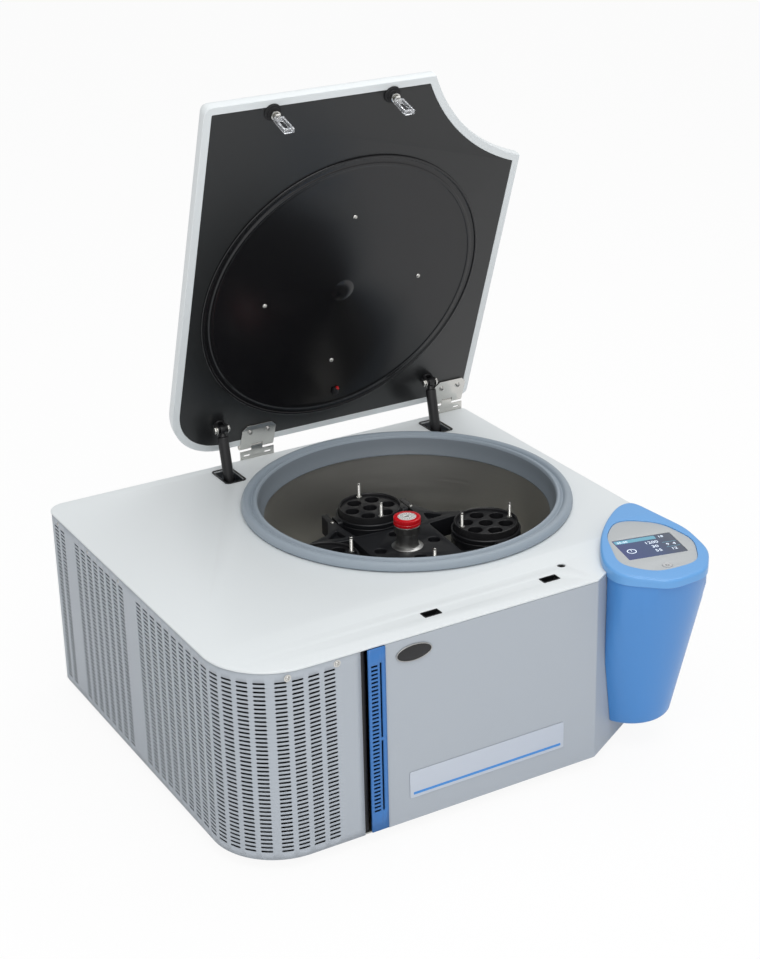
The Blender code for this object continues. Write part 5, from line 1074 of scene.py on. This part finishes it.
class CENTRIFUGE_OT_fittings(bpy.types.Operator):
    """Hinges with their screws, gas struts with their studs, and the lock's pawls"""

    bl_idname = "centrifuge.fittings"
    bl_label = "Hinges and struts"

    def execute(self, context):
        for number, side in enumerate(SIDES):
            self.hinge(HINGE_XS[number], side)
            self.strut(STRUT_XS[number], side)
        dress("plain_steel", "lock_pawl_left", "lock_pawl_right")
        return {"FINISHED"}

    def hinge(self, x, side):
        """Leaf on the lid with cut corners and two screws, leaf on the rear edge, knuckles on one pin."""
        half, third, barrel = 0.0275, 0.0275 * 2 / 3, 0.0045
        knuckle = [(0.0024, 0.0), (barrel - 0.0004, 0.0), (barrel, 0.0004), (barrel, third - 0.0007),
                   (barrel - 0.0004, third - 0.0003), (0.0024, third - 0.0003)]
        hollow = revolve(knuckle, 32, closed=True).turned("Y", math.pi / 2)
        outline = rounded([(-half, -0.0335, 0.001), (-half + 0.008, -0.0415, 0.002),
                           (half - 0.008, -0.0415, 0.002), (half, -0.0335, 0.001), (half, -0.0010, 0.0),
                           (half - third, -0.0010, 0.0), (half - third, -0.0055, 0.0),
                           (-half + third, -0.0055, 0.0), (-half + third, -0.0010, 0.0),
                           (-half, -0.0010, 0.0)], 4)
        leaf = plate(outline, -barrel, -barrel + 0.0017, edge=0.0003)
        leaf.join(hollow.placed((-half, 0, 0)), hollow.placed((half - third + 0.0003, 0, 0)),
                  rod((-half + 0.0005, 0, 0), (half - 0.0005, 0, 0), 0.0021, 20))
        for sign in (-1, 1):
            leaf.join(plate(circle(sign * 0.0145, -0.0290, 0.0046, 28), -barrel - 0.0006, -barrel + 0.0002,
                            edge=0.0003))
        piece(f"hinge_upper_{side}", leaf.placed((x, 0, 0)), on_lid, "bright_steel", "lid",
              f"hinge_lid_{side}")
        heads = Shape()
        for sign in (-1, 1):
            heads.join(screw(0.0034, 0.0022).placed(
                lambda p: p * (1, 1, -1) + (x + sign * 0.0145, -0.0290, -barrel - 0.0006)))
        piece(f"hinge_screws_{side}", heads, on_lid, "plain_steel", "lid")
        top = DECK + 0.012
        plan = [(-half, DECK - 0.030), (half, DECK - 0.030), (half, top), (half - third, top),
                (half - third, HINGE_Z), (-half + third, HINGE_Z), (-half + third, top), (-half, top)]
        slots = [rounded([(a, DECK + 0.0040, 0.001), (b, DECK + 0.0040, 0.001), (b, DECK + 0.0062, 0.001),
                          (a, DECK + 0.0062, 0.001)], 4) for a, b in ((-0.022, -0.012), (0.012, 0.022))]
        back = HINGE_Y - barrel
        lower = upright(plate(rounded([(a, b, 0.0) for a, b in plan]), back, back + 0.0017, slots,
                              edge=0.0003))
        lower.join(hollow.placed((-half + third, HINGE_Y, HINGE_Z)))
        piece(f"hinge_lower_{side}", lower.placed((x, 0, 0)), cabinet, "bright_steel", "cabinet",
              f"hinge_deck_{side}")

    def strut(self, x, side):
        """Gas strut: black tube and eye, bright rod, and the stud with its steel washer and nut."""
        c, s = math.cos(LID_OPEN), math.sin(LID_OPEN)
        eye = np.array([x, HINGE_Y - STRUT_U * c + STRUT_V * s, HINGE_Z + STRUT_U * s + STRUT_V * c])
        foot = np.array([x, *STRUT_FOOT])
        down = (foot - eye) / np.linalg.norm(foot - eye)
        length = float(np.linalg.norm(foot - eye))
        lean = math.atan2(down[1], -down[2])

        def along(points):
            """Points with the eye at the origin and the strut hanging down z, leaned into place."""
            matrix = np.array(Matrix.Rotation(lean, 3, "X"))
            return cabinet(np.asarray(points, float) @ matrix.T + eye)

        tube = revolve([(0.0041, -0.0980), (0.0072, -0.0980), (0.0078, -0.0974), (0.0078, -0.0900),
                        (0.0074, -0.0895), (0.0078, -0.0890), (0.0078, -0.0122), (0.0074, -0.0112),
                        (0.0050, -0.0104), (0.0040, -0.0070), (0.0030, -0.0052), (0.0, -0.0052),
                        (0.0, -0.0150), (0.0041, -0.0152)], 40, closed=True)
        ring = sideways(plate(circle(0, 0, 0.0065, 36), -0.0035, 0.0035, [circle(0, 0, 0.0034, 24)],
                              edge=0.0006))
        piece(f"strut_tube_{side}", tube.join(ring), along, "black_plastic", f"strut_cylinder_{side}",
              f"strut_cylinder_{side}")
        end = sideways(plate(circle(0, -length, 0.0065, 32), -0.0035, 0.0035,
                             [circle(0, -length, 0.0034, 24)], edge=0.0006))
        bar = revolve([(0, -length + 0.004), (0.0035, -length + 0.004), (0.0035, -length + 0.0992),
                       (0.0029, -length + 0.1000), (0, -length + 0.1000)], 28)
        piece(f"strut_bar_{side}", end.join(bar), along, "plain_steel", f"strut_rod_{side}",
              f"strut_rod_{side}")
        high = LID_SEAT
        place = (x, -STRUT_U, 0)
        cheeks = Shape()
        for sign in (-1, 1):
            a, b = sorted((sign * 0.0041, sign * 0.0075))
            cheek = rounded([(-0.0070, high, 0.0), (-0.0055, STRUT_V - 0.0045, 0.004),
                             (0.0055, STRUT_V - 0.0045, 0.004), (0.0070, high, 0.0)], 6)
            cheeks.join(sideways(plate(cheek, a, b, edge=0.0005)))
        cheeks.join(revolve([(0, high), (0.0085, high), (0.0085, high - 0.0016), (0.0078, high - 0.0024),
                             (0, high - 0.0024)], 36))
        piece(f"stud_base_{side}", cheeks.placed(place), on_lid, "black_plastic", "lid",
              f"strut_stud_{side}")
        pin = rod((-0.0108, 0, STRUT_V), (0.0108, 0, STRUT_V), 0.0030, 24)
        for sign in (-1, 1):
            a, b = sorted((sign * 0.0076, sign * 0.0088))
            pin.join(sideways(plate(circle(0, STRUT_V, 0.0066, 32), a, b, edge=0.0003)))
            a, b = sorted((sign * 0.0089, sign * 0.0118))
            pin.join(sideways(plate(circle(0, STRUT_V, 0.0052, 6), a, b, edge=0.0006)))
        piece(f"stud_bolt_{side}", pin.placed(place), on_lid, "bright_steel", "lid")


def reach(loop, origin, angles):
    """Distance from a point to an outline along each angle, at the nearest crossing."""
    a = np.asarray(loop, float) - origin
    edge = (np.roll(a, -1, 0) - a)[None]
    d = np.stack([np.cos(angles), np.sin(angles)], 1)[:, None]
    cross = d[..., 0] * edge[..., 1] - d[..., 1] * edge[..., 0]
    cross = np.where(np.abs(cross) < 1e-12, 1e-12, cross)
    t = (a[:, 0] * edge[..., 1] - a[:, 1] * edge[..., 0]) / cross
    s = (a[:, 0] * d[..., 1] - a[:, 1] * d[..., 0]) / cross
    return np.where((t > 1e-6) & (s >= 0) & (s <= 1), t, 9.0).min(1)


def eased(loop, distance, count=240):
    """Outline at even steps, each point the weighted mean of its neighbours up to a distance away."""
    run = np.concatenate([[0.0], np.cumsum(np.linalg.norm(np.roll(loop, -1, 0) - loop, axis=1))])
    ends = np.concatenate([loop, loop[:1]])
    at = np.linspace(0, run[-1], count, endpoint=False)
    even = np.stack([np.interp(at, run, ends[:, k]) for k in (0, 1)], 1)
    reach_count = max(1, round(distance / run[-1] * count))
    weights = np.hanning(2 * reach_count + 3)[1:-1]
    weights /= weights.sum()
    return sum(weight * np.roll(even, k - reach_count, 0) for k, weight in enumerate(weights))


def cap_outline(distance=0.0):
    """Plan of the pod's cap moved inward: an egg whose rear edge follows the lid's cut corner."""
    rear = cut_corner_arc(0.283, CAP_RIGHT - 0.040, 0.016, 28)[::-1]
    loop = eased(np.concatenate([rear, np.array(CAP_CORNERS) + (CAP_RIGHT, 0)]), CAP_EASE)
    return inset(loop, distance) if distance else loop


def sloped(points):
    """Points of the pod's flat top let down toward the front along the camera's sight line."""
    points = np.asarray(points, float)
    return points + CAP_SLOPE * (CAP_BACK - points[:, 1:2]) * SIGHT


def lowered(points):
    """Points of the cap above the deck let down onto the same slope, their plan as it was."""
    slope = CAP_SLOPE / (1 - SIGHT[1] * CAP_SLOPE)
    drop = np.where(points[:, 2] > DECK + 0.001, slope * (CAP_BACK - points[:, 1]), 0.0)
    return points - np.stack([drop * 0, drop * 0, drop], 1)


def front_of_cabinet(limits, steps=150):
    """Outline in front of the cut corner: the nearest of some limits, from one meeting to the other.

    The limits are outlines. Rays start at a point in the pod, and the cabinet's own face, moved out by a
    gap, closes the outline behind.
    """
    origin = np.array([WIDTH - 0.070, 0.004])
    behind = cabinet_outline(-0.0005, 4)
    angles = np.linspace(math.radians(-250), math.radians(110), 4001)[:-1]
    front = np.min([reach(loop, origin, angles) for loop in limits], 0)
    gap = reach(behind, origin, angles) - front
    ahead = gap > 0
    turns = np.flatnonzero(ahead[1:] != ahead[:-1])
    share = gap[turns] / (gap[turns] - gap[turns + 1])
    meets = angles[turns] + share * (angles[turns + 1] - angles[turns])
    chosen = np.linspace(meets[0], meets[-1], steps)
    radius = np.min([reach(loop, origin, chosen) for loop in limits], 0)
    return origin + radius[:, None] * np.stack([np.cos(chosen), np.sin(chosen)], 1)


class CENTRIFUGE_OT_pod(bpy.types.Operator):
    """Control pod: tapered housing, cap, fascia, display with its marks, and button"""

    bl_idname = "centrifuge.pod"
    bl_label = "Control pod"

    def execute(self, context):
        high = DECK - 0.0063
        t = np.linspace(0, math.pi / 2, 7)
        bottom = 0.028
        levels = np.concatenate([bottom + 0.006 * (1 - np.cos(t)), np.linspace(0.05, high - 0.0006, 9),
                                 [high]])
        tucked = np.concatenate([0.006 * (1 - np.sin(t)), np.zeros(9), [0.0006]])
        under = cap_outline(0.002)
        loops = []
        for level, tuck in zip(levels, tucked):
            radius = 0.054 + (0.103 - 0.054) * (level - bottom) / (high - bottom) - tuck
            loops.append(front_of_cabinet([circle(*POD, radius, 360), under]))
        piece("pod_body", loft(loops, levels), cabinet, "pod_blue", "cabinet", "pod_housing")
        top = DECK + 0.020
        floor = top - 0.0040
        face = eased(rounded([(CAP_RIGHT + x, y, r) for x, y, r in FASCIA_CORNERS], 16), 0.026, 160)
        plan = sloped(np.column_stack([face, np.zeros(len(face))]))[:, :2]
        cap = plate(cap_outline(), DECK + 0.0003, top, [inset(plan, -0.0003)], edge=0.004, lower=0.0,
                    steps=8, floor=floor, rim=0.0006).placed(lowered)
        skirt_plan = front_of_cabinet([cap_outline(0.00004)], steps=220)
        skirt = loft([inset(skirt_plan, 0.0006), skirt_plan, skirt_plan],
                     [DECK - 0.006, DECK - 0.0054, DECK + 0.0010])
        piece("cap_shell", cap.join(skirt), cabinet, "cap_blue", "cabinet", "pod_cap")
        self.fascia(face, floor + 0.0003)
        return {"FINISHED"}

    def fascia(self, face, low):
        """Fascia, the display with its lit marks, and the button with its plain ring."""
        def on_screen(points):
            return spun(points, SCREEN_TURN) + (*SCREEN, 0)

        def on_top(points):
            return cabinet(sloped(points))

        window = rectangle(-0.04175, -0.03075, 0.04175, 0.03075, 0.002)
        hole = on_screen(np.column_stack([window, np.zeros(len(window))]))[:, :2]
        high = low + 0.0022
        front = plate(face, low, high, [hole, circle(*BUTTON, 0.0071, 48)], edge=0.0003)
        piece("fascia", front, on_top, "fascia_grey", "cabinet", "pod_fascia")
        glass = plate(inset(window, 0.0003), low, low + 0.0016, edge=0.0002)
        piece("screen_glass", glass.placed(on_screen), on_top, "display", "cabinet", "pod_screen")
        level = low + 0.00162

        def mark(outline, rise=0.0, holes=()):
            return plate(outline, level - 0.0001, level + rise, holes, edge=0.00003)

        bar = mark(rectangle(-0.0400, 0.0190, 0.0180, 0.0285, 0.0008))
        bar.join(*(mark(rectangle(0.0205, y - 0.0004, 0.0400, y + 0.0004)) for y in (-0.0090, 0.0052)))
        piece("screen_bar", bar.placed(on_screen), on_top, "display_bar", "cabinet")
        marks = Shape()
        for text, size, x, y in (("1200", 0.0098, -0.0030, 0.0070), ("30", 0.0098, 0.0020, -0.0055),
                                 ("55", 0.0098, 0.0020, -0.0180), ("18", 0.0080, 0.0215, 0.0205),
                                 ("05:00", 0.0068, -0.0370, 0.0206), ("9", 0.0088, 0.0230, -0.0050),
                                 ("4", 0.0088, 0.0320, -0.0050), ("12", 0.0088, 0.0240, -0.0190)):
            marks.join(number_shape(text, size, level + 0.0001).placed((x, y, 0)))
        dial = (-0.0280, -0.0060)
        marks.join(mark(circle(*dial, 0.0066, 40), 0.0001, [circle(*dial, 0.0054, 40)]),
                   mark([(-0.0284, -0.0064), (-0.0276, -0.0064), (-0.0276, -0.0014), (-0.0284, -0.0014)],
                        0.0001))
        piece("screen_marks", marks.placed(on_screen), on_top, "display_light", "cabinet")
        rim = revolve([(0, -0.0038), (0.0068, -0.0038), (0.0068, 0.0002), (0.0064, 0.0009),
                       (0.0058, 0.0010), (0.0053, 0.0005), (0.0030, 0.0002), (0, 0.0001)], 56)
        piece("button_key", rim.placed((*BUTTON, high)), on_top, "pale_plastic", "button", "power_button")
        sign = plate(circle(*BUTTON, 0.0026, 32), high + 0.00015, high + 0.00035,
                     [circle(*BUTTON, 0.0021, 32)], edge=0.00004)
        piece("button_sign", sign, on_top, "black_print", "button")


def number_shape(text, size, level):
    """Plain number as thin plates: its outlines filled, then made a mesh."""
    curve = bpy.data.curves.new("number", "FONT")
    curve.body = text
    curve.size = size
    curve.extrude = 0.00008
    curve.resolution_u = 3
    item = bpy.data.objects.new("number", curve)
    bpy.context.scene.collection.objects.link(item)
    bpy.context.view_layer.update()
    data = bpy.data.meshes.new_from_object(item.evaluated_get(bpy.context.evaluated_depsgraph_get()))
    bpy.data.objects.remove(item, do_unlink=True)
    bpy.data.curves.remove(curve)
    points = np.empty(len(data.vertices) * 3)
    data.vertices.foreach_get("co", points)
    shape = Shape().add(points.reshape(-1, 3) + (0, 0, level), [])
    shape.faces = [tuple(face.vertices) for face in data.polygons]
    shape.flat = [True] * len(shape.faces)
    bpy.data.meshes.remove(data)
    return shape


class CENTRIFUGE_OT_bay(bpy.types.Operator):
    """Finishes of the cooling set and the control board behind the grille"""

    bl_idname = "centrifuge.bay"
    bl_label = "Cooling bay"

    def execute(self, context):
        dress("aluminium", "condenser")
        dress("black_plastic", "fan_shroud")
        dress("pale_plastic", "condenser_fan")
        dress("dark_steel", "compressor")
        dress("board_green", "control_board")
        return {"FINISHED"}


class CENTRIFUGE_OT_stage(bpy.types.Operator):
    """Floor, even white surroundings, studio lights and the camera"""

    bl_idname = "centrifuge.stage"
    bl_label = "Stage"

    def execute(self, context):
        settings = context.scene.centrifuge_stage
        self.floor(settings.floor_size)
        self.surroundings(settings.world_level)
        self.light("key", (-0.5, -1.5, 2.7), (0.0, 0.0, 0.3), 1.9, settings.key_power)
        self.light("fill", (-1.8, -2.6, 0.9), (0.0, 0.0, 0.2), 2.0, settings.fill_power)
        self.light("top", (1.1, 0.4, 2.6), (0.0, 0.05, 0.2), 1.6, settings.key_power * 0.45)
        self.camera()
        context.scene.view_settings.view_transform = "Standard"
        return {"FINISHED"}

    def floor(self, size):
        """Floor just under the feet: matt white to the light, and mostly a white glow to the camera."""
        half = size / 2
        line = np.linspace(-half, half, 9)
        x, y = np.meshgrid(line, line, indexing="ij")
        points = np.stack([x, y, np.full_like(x, -0.0002)], -1).reshape(-1, 3)
        shape = Shape().add(points, [grid_faces(9, 9)])
        data = shape.mesh("stage_floor", closed=False)
        found = material("stage_floor", (0.92, 0.92, 0.92), 0.9, sockets={"Specular IOR Level": 0.0})
        tree = found.node_tree
        glow = shader_node(tree, "Emission", {"Color": (1, 1, 1, 1)})
        ray = shader_node(tree, "LightPath").outputs["Is Camera Ray"]
        share = shader_node(tree, "Math", {0: ray, 1: FLOOR_GLOW}, operation="MULTIPLY")
        mix = shader_node(tree, "MixShader", {"Fac": share.outputs[0], 2: glow.outputs[0],
                                              1: tree.nodes["Principled BSDF"].outputs[0]})
        feed(tree, tree.nodes["Material Output"], {"Surface": mix.outputs[0]})
        data.materials.append(found)
        item = bpy.data.objects.new("stage_floor", data)
        bpy.context.scene.collection.objects.link(item)

    def surroundings(self, level):
        """White to the camera and through clear pieces, and a plain level to the rest."""
        world = bpy.data.worlds.new("surroundings")
        bpy.context.scene.world = world
        world.use_nodes = True
        tree = world.node_tree
        plain = tree.nodes["Background"]
        feed(tree, plain, {"Color": (1, 1, 1, 1), "Strength": level})
        white = shader_node(tree, "Background", {"Color": (1, 1, 1, 1), "Strength": 1.0})
        path = shader_node(tree, "LightPath").outputs
        widest = shader_node(tree, "Math", {0: path["Is Camera Ray"], 1: path["Is Transmission Ray"]},
                             operation="MAXIMUM")
        mix = shader_node(tree, "MixShader", {"Fac": widest.outputs[0], 1: plain.outputs[0],
                                              2: white.outputs[0]})
        feed(tree, tree.nodes["World Output"], {"Surface": mix.outputs[0]})

    def light(self, name, place, target, size, power):
        """Square area light aimed at a point."""
        data = bpy.data.lights.new(name, "AREA")
        data.shape = "SQUARE"
        data.size = size
        data.energy = power
        item = bpy.data.objects.new(name, data)
        item.location = place
        item.rotation_euler = (Vector(target) - Vector(place)).to_track_quat("-Z", "Y").to_euler()
        bpy.context.scene.collection.objects.link(item)

    def camera(self):
        """Camera at the photograph's angle: turned 29.6 degrees, looking down 23.5, slightly rolled."""
        data = bpy.data.cameras.new("camera")
        data.lens = 73.23
        data.sensor_width = 36
        data.clip_end = 60
        item = bpy.data.objects.new("camera", data)
        yaw, pitch, roll = np.radians([29.606, 23.491, -1.327])
        ahead = np.array([math.sin(yaw) * math.cos(pitch), math.cos(yaw) * math.cos(pitch),
                          -math.sin(pitch)])
        right = np.array([math.cos(yaw), -math.sin(yaw), 0])
        up = np.cross(right, ahead)
        side = math.cos(roll) * right + math.sin(roll) * up
        above = math.cos(roll) * up - math.sin(roll) * right
        matrix = np.eye(4)
        matrix[:3, 0], matrix[:3, 1], matrix[:3, 2] = side, above, -ahead
        matrix[:3, 3] = cabinet([[-0.8223, -1.7963, 1.3737]])[0]
        item.matrix_world = Matrix(matrix.tolist())
        bpy.context.scene.collection.objects.link(item)
        bpy.context.scene.camera = item


OPERATORS = (CENTRIFUGE_OT_cabinet, CENTRIFUGE_OT_chamber, CENTRIFUGE_OT_rotor, CENTRIFUGE_OT_lid,
             CENTRIFUGE_OT_fittings, CENTRIFUGE_OT_pod, CENTRIFUGE_OT_bay, CENTRIFUGE_OT_stage)
SETTINGS = (("centrifuge_cabinet", CabinetSettings), ("centrifuge_chamber", ChamberSettings),
            ("centrifuge_rotor", RotorSettings), ("centrifuge_lid", LidSettings),
            ("centrifuge_pod", PodSettings), ("centrifuge_stage", StageSettings))


class CENTRIFUGE_PT_panel(bpy.types.Panel):
    """Pieces of the centrifuge, one button each"""

    bl_idname = "CENTRIFUGE_PT_panel"
    bl_label = "Butterfat centrifuge"
    bl_space_type = "VIEW_3D"
    bl_region_type = "UI"
    bl_category = "Centrifuge"

    def draw(self, context):
        for name, group in SETTINGS:
            box = self.layout.box()
            settings = getattr(context.scene, name)
            for key in group.__annotations__:
                box.prop(settings, key)
        for operator in OPERATORS:
            self.layout.operator(operator.bl_idname)


def register():
    for name, group in SETTINGS:
        bpy.utils.register_class(group)
        setattr(bpy.types.Scene, name, PointerProperty(type=group))
    for operator in OPERATORS:
        bpy.utils.register_class(operator)
    bpy.utils.register_class(CENTRIFUGE_PT_panel)


def unregister():
    bpy.utils.unregister_class(CENTRIFUGE_PT_panel)
    for operator in reversed(OPERATORS):
        bpy.utils.unregister_class(operator)
    for name, group in reversed(SETTINGS):
        delattr(bpy.types.Scene, name)
        bpy.utils.unregister_class(group)


def main():
    register()
    ops = bpy.ops.centrifuge
    for step in (ops.cabinet, ops.chamber, ops.rotor, ops.lid, ops.fittings, ops.pod, ops.bay, ops.stage):
        if step() != {"FINISHED"}:
            raise RuntimeError(f"{step} didn't finish")


if __name__ == "__main__":
    main()
